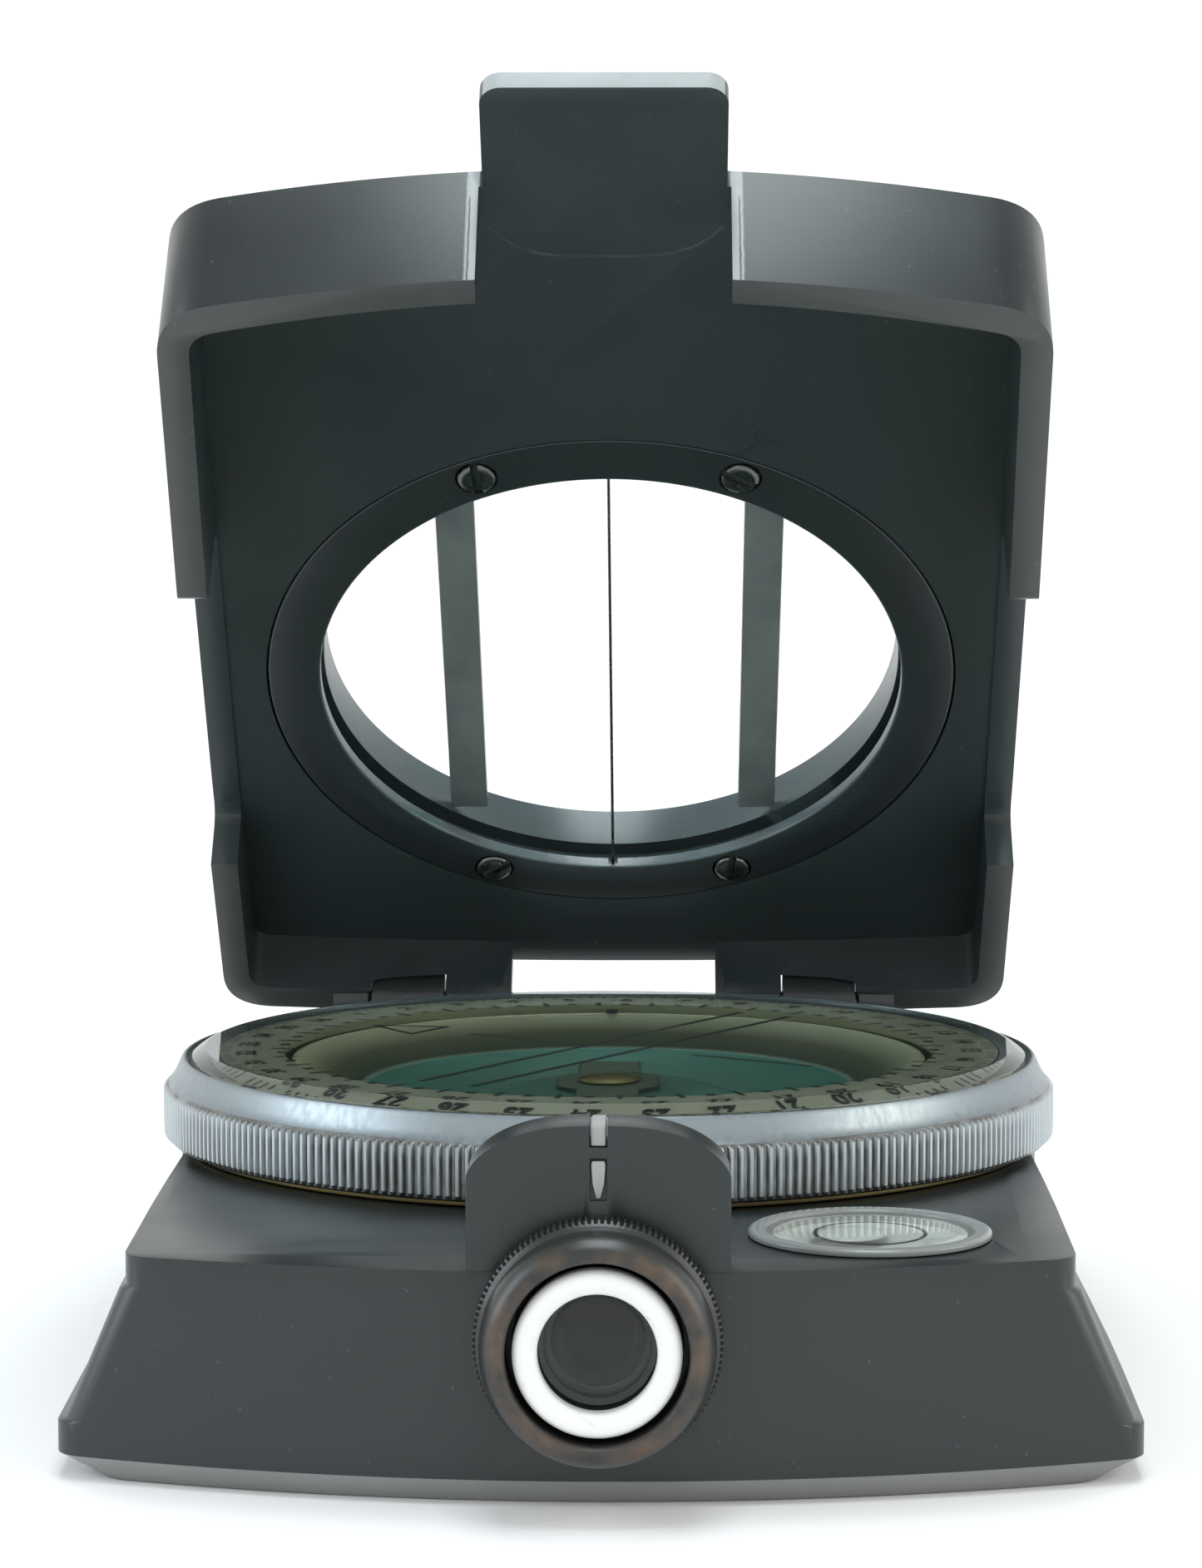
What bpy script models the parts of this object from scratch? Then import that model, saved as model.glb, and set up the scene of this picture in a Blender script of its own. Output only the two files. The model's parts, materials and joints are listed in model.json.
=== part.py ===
"""Sighting compass: base with level and lens eyepiece, turning bezel, swinging card, hinged sighting lid.

All lengths below are in millimetres and become metres where a mesh is made.
+X is to the user's right, +Y points away from the user towards the hinge, +Z is up.
The Z axis is the turning axis of the bezel, and the base stands on Z = 0.
"""

import math

import bmesh
import bpy

MM = 0.001

# Base casting
FOOT_HALF = 33.0
TOP_HALF = 28.6
CHAMFER_HALF = 30.2
BASE_TOP = 14.0
FRONT_Y = -49.8
FRONT_BOW = 0.0059
BACK_Y = 38.2
BACK_BOW = 0.0030
SIDE_BOW = 0.5
CORNER = 1.6
CHAMFER_DEPTH = 1.3
BASE_LEVELS = (
    (0.0, CHAMFER_HALF, CHAMFER_DEPTH),
    (1.5, FOOT_HALF, 0.0),
    (3.4, FOOT_HALF, 0.0),
    (3.6, 32.5, 0.0),
    (11.8, 29.0, 0.0),
    (12.1, TOP_HALF, 0.0),
    (BASE_TOP, TOP_HALF, 0.0),
)
BOSS_R = 29.9
POCKET_R = 27.2
POCKET_FLOOR = 2.2

# Bottom cover
COVER_HALF = 24.0
COVER_FRONT = -37.0
COVER_BACK = 28.0
COVER_THICK = 1.4
COVER_SCREWS = ((-20.0, -33.0), (20.0, -33.0), (-20.0, 24.0), (20.0, 24.0))

# Capsule and card
CUP_R = 27.0
CUP_TOP = 16.2
CUP_FLOOR = 3.4
BOWL_R = 22.9
DISH_FLOOR_R = 17.2
DISH_RIM_R = 21.8
DISH_LOW = 4.5
DISH_TOP = 15.4
DISH_WALL = 0.5

# Bezel
BEZEL_R = 31.15
BEZEL_BOTTOM = 14.5
KNURL_TOP = 18.3
CRYSTAL_R = 29.25
CRYSTAL_TOP = 20.65
CRYSTAL_THICK = 1.9

# Eyepiece
EYE_Z = 10.2
BORE_R = 2.65
NECK_R = 4.4
THREAD_R = 5.5
FOCUS_R = 7.35
EYE_RING_R = 4.95
EYE_HOLE_R = 3.48
FOCUS_Y = FRONT_Y - 0.6

# Index bracket
BRACKET_HALF = 7.8
BRACKET_FRONT = FRONT_Y - 0.25
BRACKET_BACK = FRONT_Y + 4.3
BRACKET_LOW = 14.1
BRACKET_SHOULDER = 20.7
BRACKET_TOP = 23.2
TONGUE_HALF = 5.6
TONGUE_LOW = 5.3

# Circular level
LEVEL_X = 16.55
LEVEL_Y = -37.8
LEVEL_R = 7.5

# Lid: lengths along the lid run from the hinge pin, depths from the pin towards the outside
HINGE_Y = 33.45
HINGE_Z = 19.1
LID_OPEN_DEG = 44.9
LID_HALF = 30.2
LID_HALF_FRONT = 28.7
LID_BACK = 0.3
LID_FRONT = -80.85
LID_FRONT_BOW = 3.3
LID_BACK_BOW = 0.9
LID_CORNER = 3.6
PLATE_IN = 4.4
PLATE_OUT = 5.9
FRONT_RIM = -4.35
BACK_RIM = -0.8
WALL = 2.0
GRIP_BACK = -17.9
GRIP_FRONT = -49.8
TAB_HALF = 7.9
TAB_END = -88.85
NOTCH_HALF = 8.15
WINDOW_Y = -32.45
WINDOW_R = 21.05
RING_IN_R = 21.2
RING_OUT_R = 25.0
COLLAR_R = 26.6
COLLAR_OUT = 10.0
SCREW_CIRCLE_R = 23.2
SCREW_ANGLE_DEG = 66.8
GUARD_X = 10.95
GUARD_WIDTH = 2.8
SLOT_HALF = 7.95

MATERIALS = {
    "black_coat": ((0.020, 0.026, 0.028, 1.0), 0.42, 0.3),
    "cover_black": ((0.018, 0.019, 0.020, 1.0), 0.55, 0.2),
    "brass": ((0.62, 0.44, 0.16, 1.0), 0.38, 1.0),
    "bright_alloy": ((0.74, 0.75, 0.76, 1.0), 0.28, 1.0),
    "steel": ((0.55, 0.56, 0.57, 1.0), 0.35, 1.0),
    "blackened_steel": ((0.05, 0.05, 0.055, 1.0), 0.40, 0.8),
    "clear_glass": ((0.90, 0.96, 0.94, 1.0), 0.05, 0.0),
    "dial_print": ((0.62, 0.66, 0.45, 1.0), 0.45, 0.0),
    "capsule_olive": ((0.16, 0.17, 0.09, 1.0), 0.50, 0.0),
    "card_teal": ((0.10, 0.42, 0.38, 1.0), 0.45, 0.0),
    "white_paint": ((0.85, 0.85, 0.83, 1.0), 0.40, 0.0),
    "pale_enamel": ((0.72, 0.76, 0.72, 1.0), 0.30, 0.0),
    "black_paint": ((0.01, 0.01, 0.01, 1.0), 0.35, 0.0),
    "seal_rubber": ((0.03, 0.03, 0.03, 1.0), 0.80, 0.0),
}


def clear_scene():
    for obj in list(bpy.data.objects):
        bpy.data.objects.remove(obj)


def new_collection(name, hidden):
    collection = bpy.data.collections.new(name)
    bpy.context.scene.collection.children.link(collection)
    collection.hide_render = hidden
    return collection


def material(slot, node):
    colour, roughness, metallic = MATERIALS[slot]
    made = bpy.data.materials.new(slot + "." + node)
    made.use_nodes = True
    shader = made.node_tree.nodes["Principled BSDF"]
    shader.inputs["Base Color"].default_value = colour
    shader.inputs["Roughness"].default_value = roughness
    shader.inputs["Metallic"].default_value = metallic
    return made


def shade(mesh, crease_deg=32.0):
    """Smooth shading with every edge steeper than the crease kept sharp."""
    work = bmesh.new()
    work.from_mesh(mesh)
    limit = math.radians(crease_deg)
    for edge in work.edges:
        edge.smooth = len(edge.link_faces) == 2 and edge.calc_face_angle(0.0) < limit
    for face in work.faces:
        face.smooth = True
    work.to_mesh(mesh)
    work.free()


def make_object(name, slot, points, faces, parent=None):
    """A solid part made from points in millimetres."""
    mesh = bpy.data.meshes.new(name)
    mesh.from_pydata([[c * MM for c in point] for point in points], [], faces)
    work = bmesh.new()
    work.from_mesh(mesh)
    bmesh.ops.recalc_face_normals(work, faces=work.faces)
    work.to_mesh(mesh)
    work.free()
    shade(mesh)
    mesh.materials.append(material(slot, name))
    obj = bpy.data.objects.new(name, mesh)
    PARTS.objects.link(obj)
    obj.parent = parent
    return obj


def make_cutter(name, points, faces, parent=None):
    obj = make_object(name, "black_paint", points, faces, parent)
    PARTS.objects.unlink(obj)
    CUTTERS.objects.link(obj)
    obj.hide_render = True
    obj.display_type = "WIRE"
    return obj


def boolean(obj, other, operation):
    modifier = obj.modifiers.new(operation.title() + "." + other.name, "BOOLEAN")
    modifier.operation = operation
    modifier.solver = "EXACT"
    modifier.object = other


def cut(obj, cutter):
    boolean(obj, cutter, "DIFFERENCE")


def add(obj, other):
    boolean(obj, other, "UNION")


def turned(profile, segments, centre=(0.0, 0.0, 0.0), axis="Z"):
    """Points and faces of a closed profile of (radius, height) pairs turned about an axis."""
    points = []
    rows = []
    for radius, height in profile:
        row = []
        if radius < 1e-6:
            row = [len(points)] * segments
            points.append((0.0, 0.0, height))
        else:
            for step in range(segments):
                angle = 2 * math.pi * step / segments
                row.append(len(points))
                points.append((radius * math.cos(angle), radius * math.sin(angle), height))
        rows.append(row)
    faces = []
    for index, row in enumerate(rows):
        after = rows[(index + 1) % len(rows)]
        for step in range(segments):
            following = (step + 1) % segments
            corners = [row[step], row[following], after[following], after[step]]
            face = list(dict.fromkeys(corners))
            if len(face) > 2:
                faces.append(face)
    placed = []
    for x, y, z in points:
        if axis == "Y":
            x, y, z = x, z, -y
        placed.append((x + centre[0], y + centre[1], z + centre[2]))
    return placed, faces


def prism(outline, low, high):
    """Points and faces of an outline in the XY plane carried from one height to another."""
    count = len(outline)
    points = [(x, y, low) for x, y in outline] + [(x, y, high) for x, y in outline]
    faces = [list(range(count))[::-1], list(range(count, 2 * count))]
    for index in range(count):
        after = (index + 1) % count
        faces.append([index, after, count + after, count + index])
    return points, faces


def stacked(outlines_at):
    """Points and faces of a solid through several outlines of equal length, lowest first."""
    count = len(outlines_at[0][1])
    points = []
    for height, outline in outlines_at:
        points += [(x, y, height) for x, y in outline]
    faces = [list(range(count))[::-1]]
    for level in range(len(outlines_at) - 1):
        start = level * count
        for index in range(count):
            after = (index + 1) % count
            faces.append([start + index, start + after, start + count + after, start + count + index])
    top = (len(outlines_at) - 1) * count
    faces.append(list(range(top, top + count)))
    return points, faces


def box(x0, x1, y0, y1, z0, z1):
    return prism([(x0, y0), (x1, y0), (x1, y1), (x0, y1)], z0, z1)


def bowed_outline(corners, bulges, fillet, steps=8, fillet_steps=4):
    """A four-sided outline whose sides bulge outwards and whose corners are rounded."""
    def on_side(side, share):
        (x0, y0), (x1, y1) = corners[side], corners[(side + 1) % 4]
        swell = 1 - (2 * share - 1) ** 2
        bulge = bulges[side]
        return (x0 + (x1 - x0) * share + bulge[0] * swell, y0 + (y1 - y0) * share + bulge[1] * swell)

    outline = []
    for side in range(4):
        length = math.dist(corners[side], corners[(side + 1) % 4])
        trim = fillet / length
        for step in range(steps + 1):
            outline.append(on_side(side, trim + (1 - 2 * trim) * step / steps))
        after = (side + 1) % 4
        next_length = math.dist(corners[after], corners[(after + 1) % 4])
        start = outline[-1]
        end = on_side(after, fillet / next_length)
        turn = corners[after]
        for step in range(1, fillet_steps):
            share = step / fillet_steps
            outline.append(tuple(
                (1 - share) ** 2 * start[k] + 2 * share * (1 - share) * turn[k] + share ** 2 * end[k]
                for k in (0, 1)
            ))
    return outline


def base_outline(half, inset):
    front = FRONT_Y + FRONT_BOW * half ** 2 + inset
    back = BACK_Y - BACK_BOW * half ** 2 - inset
    corners = [(-half, front), (half, front), (half, back), (-half, back)]
    bulges = [(0, -FRONT_BOW * half ** 2), (SIDE_BOW, 0), (0, BACK_BOW * half ** 2), (-SIDE_BOW, 0)]
    return bowed_outline(corners, bulges, CORNER, steps=8)


def lug_profile(x0, x1, shoulder, foot, back):
    """A hinge lug: a round barrel on the pin axis with a leg down to the base."""
    outline = []
    for step in range(13):
        angle = math.pi * step / 12
        outline.append((HINGE_Y + 2.2 * math.cos(angle), HINGE_Z + 2.2 * math.sin(angle)))
    outline += [(HINGE_Y - 2.2, shoulder), (HINGE_Y - 2.2, foot), (back, foot), (back, shoulder)]
    points, faces = prism(outline, x0, x1)
    return [(z, x, y) for x, y, z in points], faces


def build_base():
    base = make_object("base_body", "black_coat", *stacked(
        [(height, base_outline(half, inset)) for height, half, inset in BASE_LEVELS]
    ))
    add(base, make_cutter("boss", *turned(
        [(0, 6.0), (BOSS_R, 6.0), (BOSS_R, BASE_TOP - 0.012), (0, BASE_TOP - 0.012)], 72
    )))
    for sign, tag in ((-1, "left"), (1, "right")):
        x0, x1 = sorted((sign * 13.2, sign * 18.8))
        add(base, make_cutter("lug_" + tag, *lug_profile(x0, x1, HINGE_Z, 12.0, HINGE_Y + 2.2)))
        pin_hole = turned([(0, -7.0), (0.95, -7.0), (0.95, 7.0), (0, 7.0)], 14)
        points = [(z + sign * 16.0, x + HINGE_Y, y + HINGE_Z) for x, y, z in pin_hole[0]]
        cut(base, make_cutter("lug_hole_" + tag, points, pin_hole[1]))
    cut(base, make_cutter("capsule_pocket", *turned(
        [(0, POCKET_FLOOR), (POCKET_R, POCKET_FLOOR), (POCKET_R, 16.0), (0, 16.0)], 60
    )))
    cut(base, make_cutter("cover_recess", *prism(
        cover_outline(0.2), -1.0, COVER_THICK + 0.1
    )))
    for index, (x, y) in enumerate(COVER_SCREWS):
        cut(base, make_cutter(f"cover_thread_{index + 1}", *turned(
            [(0, 0.5), (0.95, 0.5), (0.95, 4.4), (0, 4.4)], 10, (x, y, 0)
        )))
    cut(base, make_cutter("sight_bore", *turned(
        [(0, -58.0), (BORE_R + 0.15, -58.0), (BORE_R + 0.15, -26.0), (0, -26.0)], 32,
        (0, 0, EYE_Z), "Y"
    )))
    cut(base, make_cutter("tongue_slot", *box(
        -TONGUE_HALF - 0.15, TONGUE_HALF + 0.15, -60.0, BRACKET_BACK + 0.15, TONGUE_LOW - 0.15, 30.0
    )))
    cut(base, make_cutter("level_pocket", *turned(
        [(0, 9.8), (6.9, 9.8), (6.9, 16.0), (0, 16.0)], 32, (LEVEL_X, LEVEL_Y, 0)
    )))
    return base


def cover_outline(grow):
    half = COVER_HALF + grow
    front = COVER_FRONT - grow
    back = COVER_BACK + grow
    corners = [(-half, front), (half, front), (half, back), (-half, back)]
    return bowed_outline(corners, [(0, 0)] * 4, 4.0 + grow, steps=1)


def countersunk(head_r, head_z, tip_z, shank_r, flip):
    """Profile of a countersunk screw whose flat head ends at head_z."""
    depth = head_r - shank_r
    return [
        (0, head_z), (head_r, head_z), (head_r, head_z + flip * 0.25),
        (shank_r, head_z + flip * (0.25 + depth)), (shank_r, tip_z), (0, tip_z),
    ]


def slotted_screw(name, profile, centre, slot_z, slot_angle, parent=None, axis="Z"):
    screw = make_object(name, "blackened_steel", *turned(profile, 16, centre, axis), parent)
    half = 0.28
    outline = []
    for x, y in ((-3, -half), (3, -half), (3, half), (-3, half)):
        c, s = math.cos(slot_angle), math.sin(slot_angle)
        outline.append((x * c - y * s, x * s + y * c))
    low, high = sorted(slot_z)
    points, faces = prism(outline, low, high)
    if axis == "Y":
        points = [(x, z, -y) for x, y, z in points]
    points = [(x + centre[0], y + centre[1], z + centre[2]) for x, y, z in points]
    cut(screw, make_cutter(name + "_slot", points, faces, parent))
    return screw


def build_cover():
    cover = make_object("bottom_cover", "cover_black", *prism(cover_outline(0.0), 0.0, COVER_THICK))
    for index, (x, y) in enumerate(COVER_SCREWS):
        number = index + 1
        sink = [(0, -0.5), (2.1, -0.5), (2.1, 0.35), (1.0, 1.45), (1.0, 2.0), (0, 2.0)]
        cut(cover, make_cutter(f"cover_sink_{number}", *turned(sink, 16, (x, y, 0))))
        profile = countersunk(1.95, 0.1, 4.2, 0.85, 1)
        slotted_screw(f"cover_screw_{number}", profile, (x, y, 0), (-1.0, 0.65), 0.6 * number)


def build_capsule():
    cup = make_object("capsule_cup", "capsule_olive", *turned(
        [
            (0, 2.35), (CUP_R, 2.35), (CUP_R, CUP_TOP), (BOWL_R, CUP_TOP),
            (BOWL_R, CUP_FLOOR), (0, CUP_FLOOR),
        ], 48
    ))
    cut(cup, make_cutter("cup_port", *turned(
        [(0, -29.0), (3.4, -29.0), (3.4, -15.0), (0, -15.0)], 28, (0, 0, EYE_Z), "Y"
    )))
    cut(cup, make_cutter("pivot_socket", *turned(
        [(0, 2.55), (0.85, 2.55), (0.85, 6.0), (0, 6.0)], 16
    )))
    make_object("capsule_window", "clear_glass", *turned(
        [(0, -25.6), (3.25, -25.6), (3.25, -24.4), (0, -24.4)], 28, (0, 0, EYE_Z), "Y"
    ))
    make_object("seat_ring", "brass", *turned(
        [(27.35, BASE_TOP + 0.05), (29.8, BASE_TOP + 0.05), (29.8, 14.38), (27.35, 14.38)], 56
    ))
    make_object("pivot_pin", "steel", *turned(
        [(0, 2.6), (0.75, 2.6), (0.75, 3.45), (0.4, 3.6), (0.4, 5.4), (0.06, 6.55), (0, 6.6)], 16
    ))
    make_object("capsule_seal", "seal_rubber", *turned(
        [(23.4, 16.3), (23.9, 16.3), (23.9, 16.8), (23.4, 16.8)], 32
    ))
    make_object("lubber_mark", "black_paint", *box(-0.33, 0.33, 24.3, 26.6, 16.28, 16.45))


def build_card():
    make_object("compass_card", "card_teal", *turned(
        [
            (0.95, DISH_LOW), (DISH_FLOOR_R + 0.3, DISH_LOW), (DISH_RIM_R + DISH_WALL, DISH_TOP),
            (DISH_RIM_R, DISH_TOP), (DISH_FLOOR_R, DISH_LOW + DISH_WALL), (0.95, DISH_LOW + DISH_WALL),
        ], 40
    ))
    make_object("card_magnet", "steel", *annular_bar())
    make_object("jewel_cap", "brass", *turned(
        [
            (0.6, 3.75), (2.4, 3.75), (2.4, 4.25), (0.85, 4.25), (0.85, 6.85), (2.2, 6.85),
            (2.2, 7.2), (1.2, 7.6), (0, 7.7), (0, 6.8), (0.15, 6.75), (0.6, 5.6),
        ], 14
    ))


def annular_bar():
    """A bar magnet with an eye in the middle, lying on the floor of the card."""
    outer = [(-2.2, -9.0), (2.2, -9.0), (2.2, -3.6), (3.6, -2.2), (3.6, 2.2), (2.2, 3.6),
             (2.2, 9.0), (-2.2, 9.0), (-2.2, 3.6), (-3.6, 2.2), (-3.6, -2.2), (-2.2, -3.6)]
    count = len(outer)
    inner = []
    for x, y in outer:
        reach = math.hypot(x, y)
        inner.append((1.6 * x / reach, 1.6 * y / reach))
    low, high = 5.3, 6.5
    points = [(x, y, low) for x, y in outer] + [(x, y, low) for x, y in inner]
    points += [(x, y, high) for x, y in outer] + [(x, y, high) for x, y in inner]
    faces = []
    for index in range(count):
        after = (index + 1) % count
        faces.append([index, after, count + after, count + index])
        faces.append([2 * count + index, 2 * count + after, 3 * count + after, 3 * count + index])
        faces.append([index, after, 2 * count + after, 2 * count + index])
        faces.append([count + index, count + after, 3 * count + after, 3 * count + index])
    return points, faces


def build_bezel():
    turn = bpy.data.objects.new("bezel_axis", None)
    PARTS.objects.link(turn)
    crystal_low = CRYSTAL_TOP - CRYSTAL_THICK
    make_object("bezel_ring", "bright_alloy", *turned(
        [
            (27.4, BEZEL_BOTTOM), (BEZEL_R - 0.2, BEZEL_BOTTOM), (BEZEL_R, BEZEL_BOTTOM + 0.2),
            (BEZEL_R, KNURL_TOP - 0.2), (BEZEL_R - 0.3, KNURL_TOP), (30.0, 19.95),
            (29.7, 20.1), (29.45, 19.95), (29.45, crystal_low - 0.15), (27.4, crystal_low - 0.15),
        ], 72
    ), turn)
    make_object("crystal", "clear_glass", *turned(
        [
            (0, crystal_low), (CRYSTAL_R, crystal_low), (CRYSTAL_R, CRYSTAL_TOP - 0.75),
            (CRYSTAL_R - 0.9, CRYSTAL_TOP), (0, CRYSTAL_TOP),
        ], 64
    ), turn)
    make_object("number_ring", "dial_print", *turned(
        [(22.8, 17.2), (27.1, 17.2), (27.1, 17.75), (22.8, 17.75)], 48
    ), turn)


def build_eyepiece():
    turn = bpy.data.objects.new("eyepiece_axis", None)
    turn.location = (0, 0, EYE_Z * MM)
    PARTS.objects.link(turn)
    make_object("eyepiece_tube", "brass", *turned(
        [
            (2.1, -27.4), (BORE_R, -27.4), (BORE_R, FRONT_Y + 4.35), (NECK_R, FRONT_Y + 4.3),
            (NECK_R, FRONT_Y - 0.45), (THREAD_R, FRONT_Y - 0.45), (THREAD_R, FRONT_Y - 2.1),
            (4.95, FRONT_Y - 2.1), (4.95, FRONT_Y - 1.0), (2.6, FRONT_Y - 1.0), (2.1, FRONT_Y + 0.4),
        ], 24, (0, 0, EYE_Z), "Y"
    ))
    make_object("focus_ring", "black_coat", *turned(
        [
            (5.75, FOCUS_Y), (FOCUS_R - 0.2, FOCUS_Y), (FOCUS_R, FOCUS_Y - 0.25),
            (FOCUS_R, FOCUS_Y - 1.8), (6.9, FOCUS_Y - 2.2), (6.9, FOCUS_Y - 3.9),
            (6.2, FOCUS_Y - 4.8), (5.7, FOCUS_Y - 5.1), (5.35, FOCUS_Y - 5.0),
            (5.35, FOCUS_Y - 1.7), (5.75, FOCUS_Y - 1.7),
        ], 40, (0, 0, 0), "Y"
    ), turn)
    make_object("lens_cell", "black_coat", *turned(
        [
            (3.05, FOCUS_Y - 1.1), (4.75, FOCUS_Y - 1.1), (4.75, FOCUS_Y - 3.15),
            (3.6, FOCUS_Y - 3.15), (3.6, FOCUS_Y - 1.26), (3.05, FOCUS_Y - 1.22),
        ], 28, (0, 0, 0), "Y"
    ), turn)
    make_object("eye_ring", "white_paint", *turned(
        [
            (EYE_HOLE_R, FOCUS_Y - 3.3), (EYE_RING_R, FOCUS_Y - 3.3), (EYE_RING_R, FOCUS_Y - 4.4),
            (4.7, FOCUS_Y - 4.8), (4.1, FOCUS_Y - 4.9), (EYE_HOLE_R, FOCUS_Y - 4.5),
        ], 32, (0, 0, 0), "Y"
    ), turn)
    make_object("eye_lens", "clear_glass", *turned(
        [
            (0, FOCUS_Y - 1.35), (3.5, FOCUS_Y - 1.5), (3.5, FOCUS_Y - 2.1),
            (1.8, FOCUS_Y - 2.55), (0, FOCUS_Y - 2.7),
        ], 24, (0, 0, 0), "Y"
    ), turn)


def build_bracket():
    arc = []
    rise = BRACKET_TOP - BRACKET_SHOULDER
    for step in range(15):
        share = -1 + 2 * step / 14
        x = BRACKET_HALF * share
        z = BRACKET_SHOULDER + rise * math.sqrt(max(0.0, 1 - abs(share) ** 2.6))
        arc.append((-x, z))
    outline = [
        (-BRACKET_HALF, BRACKET_LOW), (-TONGUE_HALF, BRACKET_LOW), (-TONGUE_HALF, TONGUE_LOW),
        (TONGUE_HALF, TONGUE_LOW), (TONGUE_HALF, BRACKET_LOW), (BRACKET_HALF, BRACKET_LOW),
    ] + arc
    points, faces = prism(outline, -BRACKET_BACK, -BRACKET_FRONT)
    points = [(x, -z, y) for x, y, z in points]
    bracket = make_object("index_bracket", "black_coat", points, faces)
    cut(bracket, make_cutter("bracket_bore", *turned(
        [(0, -60.0), (NECK_R + 0.15, -60.0), (NECK_R + 0.15, -40.0), (0, -40.0)], 40,
        (0, 0, EYE_Z), "Y"
    )))
    cut(bracket, make_cutter("sight_groove", *box(-0.53, 0.53, -60.0, -40.0, 21.45, 30.0)))
    cut(bracket, make_cutter("line_groove", *box(-0.5, 0.5, -60.0, BRACKET_FRONT + 0.3, 18.3, 20.8)))
    make_object("index_line_upper", "white_paint", *box(-0.43, 0.43, BRACKET_FRONT + 0.15, BRACKET_BACK - 0.2, 21.52, 22.4))
    make_object("index_line_lower", "white_paint", *box(-0.42, 0.42, BRACKET_FRONT + 0.02, BRACKET_FRONT + 0.24, 18.4, 20.7))


def build_level():
    centre = (LEVEL_X, LEVEL_Y, 0)
    make_object("level_cup", "steel", *turned(
        [
            (0, 10.0), (6.75, 10.0), (6.75, BASE_TOP + 0.05), (LEVEL_R, BASE_TOP + 0.05),
            (LEVEL_R, 14.35), (LEVEL_R - 0.2, 14.5), (6.6, 14.5), (6.4, 14.35), (6.4, 11.2), (0, 11.2),
        ], 32, centre
    ))
    make_object("level_disc", "pale_enamel", *turned(
        [(0, 11.3), (6.25, 11.3), (6.25, 11.9), (0, 11.9)], 28, centre
    ))
    make_object("level_vial", "clear_glass", *turned(
        [(0, 12.0), (6.25, 12.0), (6.25, 14.2), (5.6, 14.35), (3.0, 14.48), (0, 14.52)], 28, centre
    ))


def lid_outline(inset):
    half_back = LID_HALF - inset
    half_front = LID_HALF_FRONT - inset
    back = LID_BACK - LID_BACK_BOW - inset * 1.15
    front = LID_FRONT + LID_FRONT_BOW + inset
    corners = [(-half_front, front), (half_front, front), (half_back, back), (-half_back, back)]
    bulges = [(0, -LID_FRONT_BOW), (0.3, 0), (0, LID_BACK_BOW), (-0.3, 0)]
    return bowed_outline(corners, bulges, max(LID_CORNER - inset, 1.6), steps=8)


def build_lid():
    swing = bpy.data.objects.new("lid_hinge", None)
    swing.location = (0, HINGE_Y * MM, HINGE_Z * MM)
    swing.rotation_euler.x = -math.radians(LID_OPEN_DEG)
    PARTS.objects.link(swing)
    lid = make_object("lid_shell", "black_coat", *prism(lid_outline(0.0), FRONT_RIM, PLATE_OUT), swing)
    cut(lid, make_cutter("lid_pocket", *prism(lid_outline(WALL), FRONT_RIM - 5, PLATE_IN), swing))
    cut(lid, make_cutter("back_rim_trim", *box(-40, 40, GRIP_BACK - 1.0, 10, -20, BACK_RIM), swing))
    cut(lid, make_cutter("grip_cut", *grip_outline(), swing))
    cut(lid, make_cutter("front_notch", *box(
        -NOTCH_HALF, NOTCH_HALF, LID_FRONT - 10, LID_FRONT + WALL + 1.6, -20, PLATE_IN + 0.003
    ), swing))
    add(lid, make_cutter("tab", *tab_shape(), swing))
    cut(lid, make_cutter("back_slot", *box(-SLOT_HALF, SLOT_HALF, -4.0, 10, -20, PLATE_IN - 0.05), swing))
    build_knuckles(lid, swing)
    add(lid, make_cutter("collar", *turned(
        [
            (0, PLATE_IN + 0.5), (COLLAR_R + 0.6, PLATE_IN + 0.5), (COLLAR_R + 0.6, PLATE_OUT + 0.3),
            (COLLAR_R, COLLAR_OUT - 0.8), (COLLAR_R - 0.8, COLLAR_OUT), (0, COLLAR_OUT),
        ], 56, (0, WINDOW_Y, 0)
    ), swing))
    cut(lid, make_cutter("window_bore", *turned(
        [
            (0, 0.0), (RING_OUT_R + 0.15, 0.0), (RING_OUT_R + 0.15, PLATE_IN + 1.15),
            (22.35, PLATE_IN + 1.15), (22.35, PLATE_IN + 2.35), (WINDOW_R, PLATE_IN + 2.35),
            (WINDOW_R, 12.0), (0, 12.0),
        ], 56, (0, WINDOW_Y, 0)
    ), swing))
    build_window(lid, swing)
    return swing


def grip_outline():
    """The side cut-outs that leave the bezel free to be gripped, as one bar across the lid."""
    back = GRIP_BACK
    front = GRIP_FRONT
    low = -20.0
    high = PLATE_IN - 0.2
    profile = [(back, low), (back, high - 1.2), (back - 1.2, high), (front + 2.0, high),
               (front, high - 2.0), (front, FRONT_RIM + 2.2), (front - 0.6, FRONT_RIM + 0.8),
               (front - 2.0, FRONT_RIM - 0.2), (front - 2.0, low)]
    points, faces = prism(profile, -45.0, 45.0)
    return [(z, x, y) for x, y, z in points], faces


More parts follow.
